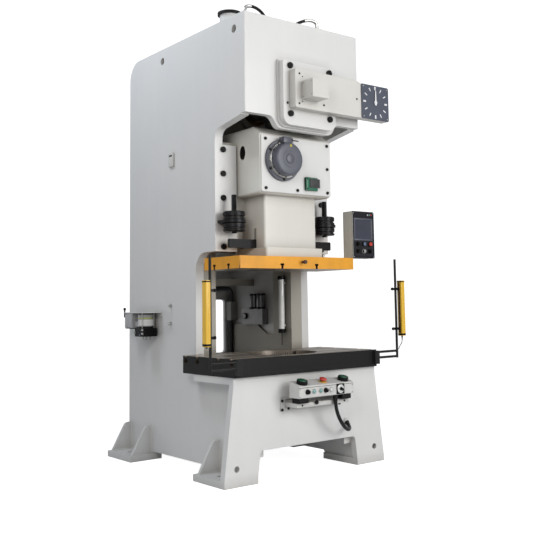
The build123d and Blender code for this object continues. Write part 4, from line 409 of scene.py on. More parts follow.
def geometry_tree(name, **inputs):
    """Geometry Nodes tree with a mesh going in and out, and named inputs of these kinds."""
    tree = bpy.data.node_groups.new(name, "GeometryNodeTree")
    for label, kind in {"Mesh": "Geometry", **inputs}.items():
        tree.interface.new_socket(name=label, in_out="INPUT", socket_type="NodeSocket" + kind)
    tree.interface.new_socket(name="Mesh", in_out="OUTPUT", socket_type="NodeSocketGeometry")
    return tree, put(tree, "NodeGroupInput").outputs, put(tree, "NodeGroupOutput")


def close_tree(tree, given, result, instances):
    """The tree with its end: instances made real, in the finish that is given."""
    real = put(tree, "GeometryNodeRealizeInstances", {0: instances}).outputs[0]
    painted = put(tree, "GeometryNodeSetMaterial", {"Geometry": real, "Material": given["Finish"]})
    plug(tree, result, {0: painted.outputs[0]})
    return tree


def screw_rows():
    """A part at each point of the mesh, turned and scaled as given."""
    tree, given, result = geometry_tree("screw_rows", Part="Object", Turn="Vector", Radius="Float",
                                        Height="Float", Finish="Material")
    part = put(tree, "GeometryNodeObjectInfo", {"Object": given["Part"]}).outputs["Geometry"]
    size = put(tree, "ShaderNodeCombineXYZ", {
        "X": given["Radius"], "Y": given["Radius"], "Z": given["Height"]})
    rows = put(tree, "GeometryNodeInstanceOnPoints", {
        "Points": given["Mesh"], "Instance": part, "Rotation": given["Turn"], "Scale": size.outputs[0]})
    return close_tree(tree, given, result, rows.outputs[0])


def grown(name, points, edges, tree, body, sharp=38.0, place=None, **values):
    """Piece that a Geometry Nodes tree grows on points and edges, as a plain mesh."""
    mesh = bpy.data.meshes.new(name + "_points")
    mesh.from_pydata(points, edges, [])
    host = set_up(name, mesh)
    modifier = host.modifiers.new("rows", "NODES")
    modifier.node_group = tree
    for item in tree.interface.items_tree:
        if item.in_out == "INPUT" and item.name in values:
            modifier[item.identifier] = values[item.name]
    bpy.context.view_layer.update()
    made = bpy.data.meshes.new_from_object(host.evaluated_get(bpy.context.evaluated_depsgraph_get()))
    host.modifiers.clear()
    host.data = made
    made.name = name
    if place is not None:
        made.transform(place)
    made.shade_smooth()
    made.set_sharp_from_angle(angle=radians(sharp))
    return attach(host, body)


black_oxide = worn_paint("black_oxide", (34, 34, 36), (120, 118, 114), roughness=0.36, amount=0.25,
                         width=0.0012, metal=0.6)
zinc = ground_metal("zinc", (206, 206, 204), (176, 176, 172), lines=(20.0, 20.0, 20.0), roughness=0.28,
                    oil=0.2)
screw_tree = screw_rows()
screw_master = socket_head("screw_master", black_oxide)
facing_front, facing_left = (pi / 2, 0.0, 0.0), (0.0, -pi / 2, 0.0)


def screws(name, places, radius, height, turn=facing_front, body="frame", finish=black_oxide):
    """Socket screws with their heads standing on the given points."""
    return grown(name, places, [], screw_tree, body, Part=screw_master, Turn=turn, Radius=radius,
                 Height=height, Finish=finish)


gib_face_y = -0.447
gib_screw_x, gib_screw_low, gib_screw_pitch = 0.445, 1.552, 0.171
gib_screws = screws("gib_screws", [(side * gib_screw_x, gib_face_y, gib_screw_low + step * gib_screw_pitch)
                                   for side in (-1, 1) for step in (0, 2, 3, 4)], 0.021, 0.014)
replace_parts(gib_screws, "frame_bolts")
housing_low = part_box("crank_housing")[0]
screws("housing_screws", [(side * 0.177, housing_low.y, height) for side in (-1, 1)
                          for height in (2.448, 2.785)], 0.022, 0.016)


# The nuts of the knock-out stops are turned steel drums, blackened. A groove runs round each one,
# and eight short round lugs stand on its rim.
def turned(form, place, profile, steps=40, finish=0):
    """Turned form: (radius, height) in millimetres from the axis at the bottom to the axis at the top."""
    rings = []
    for radius, height in ((r / 1000, h / 1000) for r, h in profile):
        angles = [2 * pi * i / steps for i in range(steps if radius > 0 else 1)]
        rings.append([form.verts.new(place @ Vector((radius * cos(angle), radius * sin(angle), height)))
                      for angle in angles])
    for lower, upper in zip(rings, rings[1:]):
        for i in range(steps):
            j = (i + 1) % steps
            corners = []
            for ring, at in ((lower, i), (lower, j), (upper, j), (upper, i)):
                if ring[at % len(ring)] not in corners:
                    corners.append(ring[at % len(ring)])
            if len(corners) > 2:
                form.faces.new(corners).material_index = finish
    return form


def standing(x, y, z, tilt=0.0):
    """Place whose height axis points up, tilted forward by an angle."""
    return Matrix.Translation((x, y, z)) @ Matrix.Rotation(tilt, 4, "X")


nut_form = bmesh.new()
nut_height, stop_arm_low, stop_arm_top = 0.060, 1.712, 1.732
stop_x, stop_y = 0.410, -0.529
lug_ring, lug_rise = 0.074, 0.043
for side in (-1, 1):
    for base in (stop_arm_low - nut_height, stop_arm_top):
        turned(nut_form, standing(side * stop_x, stop_y, base), [
            (19.2, 0), (70, 0), (76, 4), (76, 14), (68, 18), (68, 24), (76, 28), (76, 54), (68, 60),
            (19.2, 60), (19.2, 0)], steps=60)
        for angle in (2 * pi * (lug + 0.5) / 8 for lug in range(8)):
            hub = (side * stop_x + lug_ring * cos(angle), stop_y + lug_ring * sin(angle), base + lug_rise)
            outward = (Matrix.Translation(hub) @ Matrix.Rotation(angle, 4, "Z")
                       @ Matrix.Rotation(pi / 2, 4, "Y"))
            turned(nut_form, outward, [(0, -2), (8.5, -2), (8.5, 3.5), (6, 4.5), (0, 4.5)], steps=14)
bmesh.ops.remove_doubles(nut_form, verts=nut_form.verts, dist=1e-6)
new_piece("stop_nuts", nut_form, [black_oxide], "frame")


# The drive in the crown is forged and cast: shafts and rod in bright forged steel, gears and
# flywheel in grey iron with machined teeth, bushes in bronze, belts in black rubber.
def rubber(name, colour, roughness=0.55):
    """Black rubber: dull, faintly clouded and dusty in its corners."""
    return coated(name, colour, [1.2 * c + 2 for c in colour], (44, 42, 40),
                  dict(Patch=12.0, Clouds=0.6, Dirt=0.3, Reach=0.02),
                  dict(Grain=240.0, Roughness=roughness, Spread=0.2), 0.0002,
                  values={"Specular IOR Level": 0.2})


forged = ground_metal("forged_steel", (178, 176, 170), (140, 136, 130), lines=(30.0, 1.0, 30.0), roughness=0.3)
grey_iron = ground_metal("grey_iron", (112, 112, 110), (84, 83, 80), lines=(6.0, 6.0, 6.0), roughness=0.5,
                         metal=0.6)
bronze = ground_metal("bronze", (118, 92, 54), (84, 64, 38), lines=(30.0, 1.0, 30.0), roughness=0.3)
motor_blue = worn_paint("motor_blue", (84, 104, 120), (150, 150, 148), roughness=0.4)
belt_rubber = rubber("belt_rubber", (30, 30, 31), 0.7)
coat_nodes(forged, "crankshaft", "pinion_shaft", "worm_shaft", "plunger", "stop_rod_left", "stop_rod_right")
coat_nodes(grey_iron, "main_gear", "flywheel", "motor_pulley", "connecting_rod", "rod_cap")
coat_nodes(bronze, "shaft_bushes", "worm_wheel")
coat_nodes(belt_rubber, "drive_belts")
coat_nodes(motor_blue, "main_motor")
coat_nodes(frame_enamel, "crank_housing")

# The slide is a grey iron casting, planed, filled and painted a warmer cream than the frame. A
# thin cover plate in the frame's own enamel closes its front, held by six screws.
slide_enamel = enamel("slide_enamel", (224, 223, 217), (214, 212, 205), (116, 106, 90), dust_and_shade_amount=0.7)
coat_nodes(frame_enamel, "slide_cover")
# The bore's walls are painted near black. This is painted shade inside the hole.
bore_shade = worn_paint("bore_shade", (30, 26, 24), (60, 56, 52), roughness=0.7, amount=0.1)
bore_y, bore_z, bore_radius, wall_x = -0.508, 2.219, 0.050, 0.320
dressed("slide_body", "slide_casting", "slide", [
    (slide_enamel, None),
    (bore_shade, lambda p, n: 0.2 < abs(p.x) < wall_x - 0.0005
     and (p.y - bore_y) ** 2 + (p.z - bore_z) ** 2 < bore_radius ** 2),
])
cover_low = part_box("slide_cover")[0]
cover_screws = screws("cover_screws", [(x, cover_low.y, z) for x, z in (
    (-0.278, 2.290), (-0.278, 1.945), (0, 1.945), (0.278, 1.945), (0.278, 2.118), (0.278, 2.290))],
    0.011, 0.009, body="slide")
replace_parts(cover_screws, "slide_bolts")


# The face plate under the slide is planed steel with T slots. Its sides are warning yellow, the
# slots are primed red-brown and the underside is bare. A clamp screw stands out of its front.
def forward(x, y, z):
    """Place whose height axis points out of the press's front."""
    return standing(x, y, z, pi / 2)


plate_yellow = worn_paint("plate_yellow", (246, 170, 34), (150, 140, 126), roughness=0.4, amount=0.3)
slot_primer = worn_paint("slot_primer", (62, 34, 26), (90, 84, 80), roughness=0.55)
plate_low, plate_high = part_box("slide_plate")
plate_mid_y = (plate_low.y + plate_high.y) / 2
dressed("slide_plate", "face_plate", "slide", [
    (plate_yellow, None),
    (slot_primer, lambda p, n: plate_low.x + 0.001 < p.x < plate_high.x - 0.001
     and plate_low.y + 0.001 < p.y < plate_high.y - 0.001 and p.z < plate_low.z + 0.037
     and abs(p.x) + abs(p.y - plate_mid_y) > 0.02),
    (bolster_ground, lambda p, n: n.z < -0.9 and p.z < plate_low.z + 0.001),
])
clamp_form = bmesh.new()
turned(clamp_form, forward(0.023, plate_low.y, plate_low.z + 0.047), [
    (0, 0), (8.5, 0), (8.5, 22), (12.5, 22), (13.5, 23.5), (13.5, 40), (12, 42), (0, 42)], steps=12)
new_piece("clamp_screw", clamp_form, [slot_primer], "slide")


# Fillet welds join the gussets to the foot pads and the pads to the side plates. Each is a bead of
# overlapping ripples, laid by hand and painted over with the frame.
def weld_beads():
    """A rippled bead along each edge of the mesh."""
    tree, given, result = geometry_tree("weld_beads", Size="Float", Pitch="Float", Finish="Material")
    line = put(tree, "GeometryNodeMeshToCurve", {0: given["Mesh"]}).outputs[0]
    steps = put(tree, "GeometryNodeResampleCurve", mode="LENGTH")
    plug(tree, steps, {"Curve": line, "Length": given["Pitch"]})
    index = put(tree, "GeometryNodeInputIndex").outputs[0]
    wave = count(tree, "SINE", count(tree, "MULTIPLY", index, 2.1), 0.0)
    ripple = count(tree, "ADD", count(tree, "MULTIPLY", wave, 0.13), 1.0)
    section = put(tree, "GeometryNodeCurvePrimitiveCircle", {"Resolution": 7, "Radius": 1.0}).outputs[0]
    bead = put(tree, "GeometryNodeCurveToMesh", {
        "Curve": steps.outputs[0], "Scale": count(tree, "MULTIPLY", ripple, given["Size"]),
        "Profile Curve": section, "Fill Caps": True})
    return close_tree(tree, given, result, bead.outputs[0])


seams = []
pad_top, gusset_top_z, frame_side, gusset_foot = 0.045, 0.247, 0.512, 0.672
for x in (-frame_side, frame_side):
    for y in (-0.482, -0.457, 0.457, 0.482, 0.772, 0.797):
        foot = (gusset_foot - 0.004) * (1 if x > 0 else -1)
        seams += [((x, y, pad_top), (foot, y, pad_top)), ((x, y, pad_top), (x, y, gusset_top_z - 0.004))]
    for near, far in ((-0.812, -0.437), (0.437, 0.812)):
        seams.append(((x, near + 0.052, pad_top), (x, far - 0.004, pad_top)))
grown("foot_welds", [end for seam in seams for end in seam],
      [(2 * i, 2 * i + 1) for i in range(len(seams))], weld_beads(), "frame", sharp=80.0, Size=0.0065,
      Pitch=0.0045, Finish=frame_enamel)

# The arms of the knock-out stops are blackened steel on the painted gib plates. Stop rods and the
# knock-out bar are black oxide steel too, with a screw thread on the rods.
gib_paint_y = -0.4475
dressed("gib_plates", "gib_faces", "frame", [
    (frame_enamel, None),
    (black_oxide, lambda p, n: p.y < gib_paint_y),
])
coat_nodes(black_oxide, "knockout_bar")
for side, name in ((-1, "left"), (1, "right")):
    rod_form = bmesh.new()
    rod_low, rod_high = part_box("stop_rod_" + name)
    rod_height, pitch = 1000 * (rod_high.z - rod_low.z), 5.0
    rod = [(0, 0), (16, 0), (18, 2)]
    for turn in range(int((rod_high.z - rod_low.z - 0.006) / (pitch / 1000))):
        rod += [(19, 3 + (turn + 0.3) * pitch), (17.2, 3 + (turn + 0.8) * pitch)]
    rod += [(16, rod_height), (0, rod_height)]
    turned(rod_form, standing(side * stop_x, stop_y, rod_low.z), rod, steps=28)
    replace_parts(new_piece("threaded_rod_" + name, rod_form, [black_oxide], "stop_rod_" + name, 60.0),
                "stop_rod_" + name)


# The adjusting motor is a cast iron brake motor with a stepped round housing, dark grey with one
# bright ring. Six socket screws bolt it to the cover. A terminal box and lever ears sit on it.
def slab(form, low_corner, high_corner, edge=0.0, finish=0, place=None):
    """Block between two corners with rounded edges."""
    made = bmesh.ops.create_cube(form, size=1.0)["verts"]
    size = [b - a for a, b in zip(low_corner, high_corner)]
    middle = [(a + b) / 2 for a, b in zip(low_corner, high_corner)]
    bmesh.ops.scale(form, vec=size, verts=made)
    bmesh.ops.translate(form, vec=middle, verts=made)
    faces = {face for vert in made for face in vert.link_faces}
    if edge:
        edges = {line for vert in made for line in vert.link_edges}
        cut = bmesh.ops.bevel(form, geom=list(edges), offset=edge, segments=2, affect="EDGES", profile=0.5)
        faces = {face for vert in cut["verts"] for face in vert.link_faces}
    for face in faces:
        face.material_index = finish
    if place is not None:
        bmesh.ops.transform(form, matrix=place, verts=list({vert for face in faces for vert in face.verts}))
    return form


motor_grey = worn_paint("motor_grey", (92, 95, 107), (150, 148, 144), roughness=0.4, amount=0.2, grain=120.0)
motor_x, motor_z, motor_seat = -0.135, 2.147, cover_low.y
motor_at = forward(motor_x, motor_seat, motor_z)
motor_form = bmesh.new()
turned(motor_form, motor_at, [(0, 0), (147, 0), (147, 16), (145, 20), (129, 20)], 72)
turned(motor_form, motor_at, [(129, 20), (127, 23), (127, 40), (125, 42), (118, 42)], 72, finish=1)
turned(motor_form, motor_at, [
    (118, 42), (116, 45), (116, 80), (114.5, 86), (111, 91), (105, 94.5), (98, 96), (62, 96), (60, 97.8),
    (53, 97.8), (51, 96), (36, 96), (34, 101), (30, 103), (0, 103)], 72)
box_half, box_front, box_back, box_top = 0.033, motor_seat - 0.070, motor_seat - 0.016, 2.305
slab(motor_form, (motor_x - box_half, box_front, 2.261), (motor_x + box_half, box_back, box_top - 0.004),
     0.003)
slab(motor_form, (motor_x - box_half - 0.002, box_front - 0.002, box_top - 0.006),
     (motor_x + box_half + 0.002, box_back + 0.001, box_top), 0.002)
lever_x, lever_y, lever_z = -0.081, -0.767, 2.2895
for sign in (-1, 1):
    ear = sorted((lever_z + sign * 0.006, lever_z + sign * 0.014))
    slab(motor_form, (lever_x - 0.024, lever_y - 0.010, ear[0]), (lever_x, lever_y + 0.012, ear[1]), 0.001)
    turned(motor_form, standing(lever_x, lever_y, ear[0]),
           [(5.2, 0), (12, 0), (12, 8), (5.2, 8), (5.2, 0)], steps=24)
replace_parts(new_piece("brake_motor", motor_form, [motor_grey, zinc], "slide"), "adjust_motor")
for name, ring_radius, depth, angles, radius, height in (
        ("motor_screws", 0.136, 0.020, range(30, 390, 60), 0.0090, 0.008),
        ("housing_ring_screws", 0.1215, 0.042, range(0, 360, 30), 0.0048, 0.005)):
    screws(name, [(motor_x + ring_radius * cos(radians(angle)), motor_seat - depth,
                   motor_z + ring_radius * sin(radians(angle))) for angle in angles],
           radius, height, body="slide")

# The motor's brake is released by hand with a bent steel lever that ends in a black grip. Oil goes
# in under a small yellow cap on the housing's front.
satin_black = worn_paint("satin_black", (26, 26, 28), (120, 118, 114), roughness=0.34, amount=0.3,
                         width=0.0015)
coat_nodes(satin_black, "brake_lever")
cap_yellow = worn_paint("cap_yellow", (205, 190, 70), (120, 110, 60), roughness=0.35, amount=0.1)
cap_form = bmesh.new()
turned(cap_form, forward(motor_x + 0.006, motor_seat - 0.0955, motor_z + 0.092),
       [(0, -1), (10, -1), (10, 3), (8, 4.5), (0, 4.5)], steps=24)
new_piece("oil_cap", cap_form, [cap_yellow], "slide")

# The die height counter is a green moulded case. Its row of number drums sits behind a dark
# ribbed block, and two screws hold it to the cover.
counter_green = worn_paint("counter_green", (36, 112, 84), (24, 70, 54), roughness=0.36, amount=0.1)
drum_grey = worn_paint("drum_grey", (58, 60, 63), (120, 120, 118), roughness=0.42, amount=0.15)
left_x, right_x, base_z, top_z, cover_y = 0.065, 0.187, 1.950, 2.045, cover_low.y
counter_form = bmesh.new()
slab(counter_form, (left_x, cover_y - 0.018, base_z), (right_x - 0.012, cover_y, top_z), 0.004)
slab(counter_form, (left_x, cover_y - 0.024, base_z), (left_x + 0.030, cover_y, top_z), 0.003)
slab(counter_form, (left_x + 0.032, cover_y - 0.027, base_z + 0.022),
     (right_x, cover_y - 0.004, top_z - 0.010), 0.0015, finish=1)
for rib in range(8):
    rib_x = left_x + 0.036 + rib * 0.0105
    slab(counter_form, (rib_x, cover_y - 0.030, base_z + 0.026),
         (rib_x + 0.0048, cover_y - 0.026, top_z - 0.014), 0.0008, finish=1)
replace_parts(new_piece("counter_case", counter_form, [counter_green, drum_grey], "slide"), "height_counter")
screws("counter_screws", [(left_x + 0.010, cover_y - 0.024, z) for z in (base_z + 0.012, top_z - 0.012)],
       0.0052, 0.003, body="slide")

# The indicator case is a folded sheet steel housing for the chain to the dial, the box on it
# covers the angle encoder. Both are sprayed pale grey and held by small screws.
case_enamel = enamel("case_enamel", (219, 218, 214), (210, 209, 204), (120, 112, 98), roughness=0.32)
coat_nodes(case_enamel, "indicator_case", "encoder_cover")
case_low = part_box("indicator_case")[0]
for name, y, spots, radius, height in (
        ("case_screws", case_low.y, ((-0.145, 2.720), (-0.149, 2.510), (0.071, 2.526), (0.386, 2.615)),
         0.0065, 0.004),
        ("sheet_screws", case_low.y, ((-0.119, 2.701), (-0.122, 2.527)), 0.004, 0.003),
        ("boss_screw", housing_low.y, ((-0.201, 2.520),), 0.0085, 0.005)):
    screws(name, [(x, y, z) for x, z in spots], radius, height)
encoder_low, encoder_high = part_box("encoder_cover")
screws("encoder_screws", [(encoder_low.x, y, z) for y in (encoder_low.y + 0.015, encoder_high.y - 0.015)
                          for z in (encoder_low.z + 0.016, encoder_high.z - 0.016)], 0.004, 0.002,
       turn=facing_left, finish=zinc)

# The dial is a square slate-grey plate with twelve white marks, the four quarters broader, and a
# white pointer on a shaft. Four plated screws hold its corners.
dial_slate = worn_paint("dial_slate", (70, 76, 92), (120, 122, 128), roughness=0.45, amount=0.15)
mark_white = worn_paint("mark_white", (236, 237, 240), (190, 190, 186), roughness=0.4, amount=0.1)
dial_low, dial_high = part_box("dial")
coat_nodes(dial_slate, "dial")
coat_nodes(mark_white, "dial_pointer")


def radial_rows():
    """A part at equal angles round the vertical axis, each turned with its spoke."""
    tree, given, result = geometry_tree("radial_rows", Part="Object", Count="Int", Radius="Float",
                                        Finish="Material")
    ring = put(tree, "GeometryNodeMeshCircle", {"Vertices": given["Count"], "Radius": given["Radius"]})
    part = put(tree, "GeometryNodeObjectInfo", {"Object": given["Part"]}).outputs["Geometry"]
    index = put(tree, "GeometryNodeInputIndex").outputs[0]
    angle = count(tree, "MULTIPLY", index, count(tree, "DIVIDE", 2 * pi, given["Count"]))
    spoke = put(tree, "ShaderNodeCombineXYZ", {"Z": angle}).outputs[0]
    rows = put(tree, "GeometryNodeInstanceOnPoints", {
        "Points": ring.outputs[0], "Instance": part, "Rotation": spoke})
    return close_tree(tree, given, result, rows.outputs[0])


radial_tree = radial_rows()
dial_at = forward((dial_low.x + dial_high.x) / 2, dial_low.y, (dial_low.z + dial_high.z) / 2)
for name, number, length, width in (("dial_marks", 12, 0.027, 0.0085), ("dial_quarters", 4, 0.026, 0.014)):
    mark_form = bmesh.new()
    slab(mark_form, (-length / 2, -width / 2, -0.0004), (length / 2, width / 2, 0.0006 + width / 50), 0.0002)
    mark = bpy.data.objects.new(name + "_mark", mesh_of(name + "_mark", mark_form, []))
    grown(name, [(0, 0, 0)], [], radial_tree, "frame", place=dial_at, Part=mark, Count=number, Radius=0.107,
          Finish=mark_white)
screws("dial_screws", [(x, dial_low.y, z) for x in (dial_low.x + 0.018, dial_high.x - 0.018)
                       for z in (dial_low.z + 0.016, dial_high.z - 0.016)], 0.0052, 0.003, finish=zinc)

# The crown's roof carries a short sheet metal vent with a rubber edge strip, and two plated
# sockets that are welded in.
# One black finish serves for the rubber edge strip and for the vent's inside. On the inside it is painted
# shade.
vent_rubber_and_shade = rubber("vent_rubber_and_shade", (20, 20, 21), 0.6)
vent_low, vent_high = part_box("vent_stack")
vent_x, vent_y, vent_rim = (vent_low.x + vent_high.x) / 2, (vent_low.y + vent_high.y) / 2, 0.0725
dressed("vent_stack", "vent", "frame", [
    (frame_enamel, None),
    (vent_rubber_and_shade, lambda p, n: p.z > vent_high.z - 0.0205
     or (p.x - vent_x) ** 2 + (p.y - vent_y) ** 2 < vent_rim ** 2),
])
dressed("crown_top_plate", "crown_roof", "frame", [
    (frame_enamel, None),
    (zinc, lambda p, n: p.z > 3.1105),
])


# The roof hose is a black rubber air hose between the two sockets. It sags onto the roof, and at
# each end it bends down through a bright elbow into a tapered plated ferrule.
def cord_curve(name, points, radius, finish, body="frame"):
    """Cord of one open spline through control points in metres."""
    line = bpy.data.curves.new(name, "CURVE")
    line.dimensions = "3D"
    spline = line.splines.new("NURBS")
    spline.points.add(len(points) - 1)
    for spot, place in zip(spline.points, points):
        spot.co = (*place, 1.0)
    spline.order_u = 3
    spline.use_endpoint_u = True
    spline.resolution_u = 12
    line.bevel_depth = radius
    line.bevel_resolution = 5
    line.use_fill_caps = True
    line.materials.append(finish)
    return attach(set_up(name, line), body)


def ferrule(form, place, bore, wide, length):
    """Tapered sleeve with a collar at its root and grip rings, in millimetres."""
    profile = [(bore, 0), (wide, 0), (wide, 0.20 * length)]
    for ring in range(4):
        at = (0.26 + 0.17 * ring) * length
        reach = wide - (wide - bore - 0.8) * (0.3 + 0.2 * ring)
        profile += [(reach - 0.6, at), (reach, at + 0.02 * length), (reach, at + 0.09 * length),
                    (reach - 0.6, at + 0.11 * length)]
    profile += [(bore + 0.5, length), (bore, length), (bore, 0)]
    return turned(form, place, profile, steps=28)


hose_rubber = rubber("hose_rubber", (18, 18, 19), 0.42)
hose_left, hose_right, hose_row, socket_top = -0.420, 0.238, -0.692, 3.144
hose_points = [(end + across, hose_row + back, socket_top + rise) for end, across, back, rise in (
    (hose_left, 0, 0, 0), (hose_left, 0, 0, 0.044), (hose_left, 0.022, 0.000, 0.074),
    (hose_left, 0.086, -0.004, 0.078), (hose_left, 0.160, 0.010, 0.058), (hose_left, 0.228, 0.040, 0.014),
    (hose_left, 0.300, 0.070, -0.018), (hose_left, 0.370, 0.074, -0.020), (hose_left, 0.444, 0.050, 0.012),
    (hose_left, 0.510, 0.022, 0.060), (hose_right, -0.072, 0.004, 0.088), (hose_right, -0.010, -0.002, 0.080),
    (hose_right, 0, 0, 0.042), (hose_right, 0, 0, 0))]
hose = cord_curve("roof_air_hose", hose_points, 0.011, hose_rubber)
ferrule_form = bmesh.new()
for end in (hose_left, hose_right):
    ferrule(ferrule_form, standing(end, hose_row, socket_top - 0.0005), 11.1, 16.5, 38)
hose_ferrules = new_piece("hose_ferrules", ferrule_form, [zinc], "frame")
elbow_wall = 0.0014
for name, run in (("left", hose_points[:4]), ("right", hose_points[:-6:-1])):
    middle = [(a + b) / 2 for a, b in zip(run[-2], run[-1])]
    cord_curve("hose_elbow_" + name, run[:-1] + [tuple(middle)], 0.011 + elbow_wall, zinc)
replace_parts(hose, "roof_hose")


# The two-hand control box is folded sheet steel in light grey enamel, on rubber feet on a shelf that
# is bolted to the bed. Its switches are moulded plastic, the lid has a dark seal.
def moulded(name, colour, roughness=0.32, coat=0.2):
    """Moulded plastic: even colour with faint flow clouds and a fine eroded grain."""
    brightest = max(colour)
    # Pale plastics get a darker corner tone, which is painted shade. Dark plastics get a lighter one, which is
    # dust.
    return coated(name, colour, [0.9 * c for c in colour], (104, 98, 88) if brightest > 60 else (34, 33, 31),
                  dict(Patch=22.0, Clouds=0.5, Dirt=0.35, Reach=0.012),
                  dict(Grain=320.0, Roughness=roughness, Spread=0.12), 0.00006, 0.0006,
                  values={"Coat Weight": coat if brightest > 60 else 0.3 * coat,
                          "Specular IOR Level": 0.12 if brightest < 60 else 0.5})


control_grey = enamel("control_grey", (213, 213, 211), (204, 204, 203), (120, 112, 98), roughness=0.36)
switch_black = moulded("switch_black", (9, 9, 10))
pad_yellow = moulded("pad_yellow", (232, 190, 48))
lens_cyan = moulded("lens_cyan", (118, 170, 166), roughness=0.16, coat=0.8)
lens_pale = moulded("lens_pale", (222, 226, 224), roughness=0.16, coat=0.8)
foot_rubber = rubber("foot_rubber", (12, 12, 12))
control_front, control_floor, lid_y, lid_z = -0.984, 0.532, -0.9399, 0.6226
lid_tilt = atan2(0.030, 0.105)
stop_button_x, palm_pitch, knob_z = 0.015, 0.180, 0.571


def over_lid(p):
    """Height of a point above the sloping lid."""
    return (p - Vector((0, lid_y, lid_z))).dot(Vector((0, -sin(lid_tilt), cos(lid_tilt))))


dressed("control_box", "control_case", "frame", [
    (control_grey, None),
    (switch_black, lambda p, n: over_lid(p) > 0.0005 or p.y < control_front - 0.0005),
    (pad_yellow, lambda p, n: over_lid(p) > 0.0005 and abs(p.x - stop_button_x) < 0.024),
    (lens_cyan, lambda p, n: p.y < control_front - 0.0005 and -0.112 < p.x < -0.026),
    (lens_pale, lambda p, n: p.y < control_front - 0.0005 and 0.039 < p.x < 0.067),
    (foot_rubber, lambda p, n: 0.5149 < p.z < control_floor - 0.0001 and p.y < -0.885
     and (abs(n.z) < 0.5 or p.x > 0.08) and abs(p.y + 0.93) < 0.05
     and (abs(p.x + 0.172) < 0.039 or abs(p.x - 0.202) < 0.039 or abs(p.x - 0.109) < 0.02)),
], bare=lambda p: over_lid(p) > 0.0005 and abs(p.x - stop_button_x) > 0.1 or p.z < 0.5318 and p.y < -0.8185)
shelf_form = bmesh.new()
shelf_low, shelf_top, shelf_front, shelf_back = 0.468, 0.497, -0.942, -0.812
shelf_left, shelf_right = -0.210, 0.248
slab(shelf_form, (shelf_left, shelf_front, shelf_top - 0.003), (shelf_right, shelf_back, shelf_top), 0.0008)
slab(shelf_form, (shelf_left, shelf_front, shelf_low), (shelf_right, shelf_front + 0.003, shelf_top - 0.0005),
     0.0008)
for x in (shelf_left, shelf_right - 0.003):
    slab(shelf_form, (x, shelf_front + 0.001, shelf_low), (x + 0.003, shelf_back, shelf_top - 0.0005), 0.0008)
new_piece("control_shelf", shelf_form, [control_grey], "frame")
foot_form = bmesh.new()
for x in (-0.172, 0.202):
    slab(foot_form, (x - 0.040, -0.972, shelf_top), (x + 0.040, -0.892, control_floor + 0.001), 0.004)
turned(foot_form, standing(0.109, -0.960, 0.5138), [(0, 0), (19, 0), (19, 16), (16, 18.5), (0, 18.5)],
       steps=12)
new_piece("control_feet", foot_form, [foot_rubber], "frame")
seal_form = bmesh.new()
slab(seal_form, (-0.2223, control_front - 0.0006, 0.5985), (0.2523, control_front + 0.004, 0.6012), 0.0004)
new_piece("lid_seal", seal_form, [foot_rubber], "frame")

# On the box's front stand two selectors, three lamps in round bezels and a cam switch on a pale
# plate. Plated and black screws hold the box, its shelf and the bracket, and a knob the tray.
bezel_form = bmesh.new()
for x, number in ((-0.098, 1), (-0.040, 1), (0.053, 2), (0.004, 0), (-0.153, 0)):
    spot = forward(x, control_front, knob_z)
    turned(bezel_form, spot, [(11.8, 0), (17.2, 0), (17.2, 2.5), (15.8, 4.2), (13.3, 4.2), (11.8, 3),
                              (11.8, 0)], steps=32, finish=3 if number else 0)
    if number:
        turned(bezel_form, spot, [(0, 4.5), (12.2, 4.5), (12.2, 6), (10.8, 8.2), (6.6, 10.2), (0, 11)],
               steps=28, finish=number)
knob_front = control_front - 0.018
slab(bezel_form, (0.001, knob_front - 0.005, knob_z - 0.0122), (0.007, knob_front + 0.002, knob_z + 0.0122),
     0.0012)
slab(bezel_form, (0.0033, knob_front - 0.0056, knob_z + 0.003), (0.0047, knob_front - 0.004, knob_z + 0.0112),
     0.0002, finish=2)
cam = forward(0.133, control_front - 0.006, knob_z)
cam_turn = cam @ Matrix.Rotation(radians(38), 4, "Z")
turned(bezel_form, cam, [(0, 0), (29, 0), (29, 1.5), (28, 2.2), (0, 2.2)], steps=48, finish=2)
turned(bezel_form, cam, [(0, 2), (10, 2), (10, 8), (9, 12), (8.5, 22), (7.5, 23.5), (0, 24)], steps=32)
slab(bezel_form, (-0.0038, -0.015, 0.008), (0.0038, 0.015, 0.022), 0.0016, place=cam_turn)
slab(bezel_form, (-0.0007, 0.004, 0.0215), (0.0007, 0.014, 0.0224), 0.0001, finish=2, place=cam_turn)
new_piece("front_switches", bezel_form, [switch_black, lens_cyan, lens_pale, zinc], "frame")
coat_nodes(switch_black, "mode_selector")
screws("panel_screws", [(x, control_front, z) for x in (-0.214, 0.244) for z in (0.541, 0.590)], 0.0042, 0.002,
       finish=zinc)
bracket_front = -0.818
for name, y, spots, radius, height in (
        ("shelf_bolts", bracket_front, ((-0.2385, 0.509), (-0.2385, 0.449), (0.2665, 0.509), (0.2665, 0.449)),
         0.0095, 0.007),
        ("tray_screws", shelf_front, ((-0.165, 0.482), (0.205, 0.482)), 0.0065, 0.004),
        ("bracket_screw", bracket_front, ((-0.185, 0.454),), 0.0085, 0.006)):
    screws(name, [(x, y, z) for x, z in spots], radius, height)
catch_form = bmesh.new()
turned(catch_form, forward(-0.049, shelf_front, 0.4935),
       [(0, 0), (9, 0), (9, 4), (13.5, 6), (14.5, 12), (12.5, 15.5), (0, 16.5)], steps=28)
new_piece("tray_knob", catch_form, [switch_black], "frame")

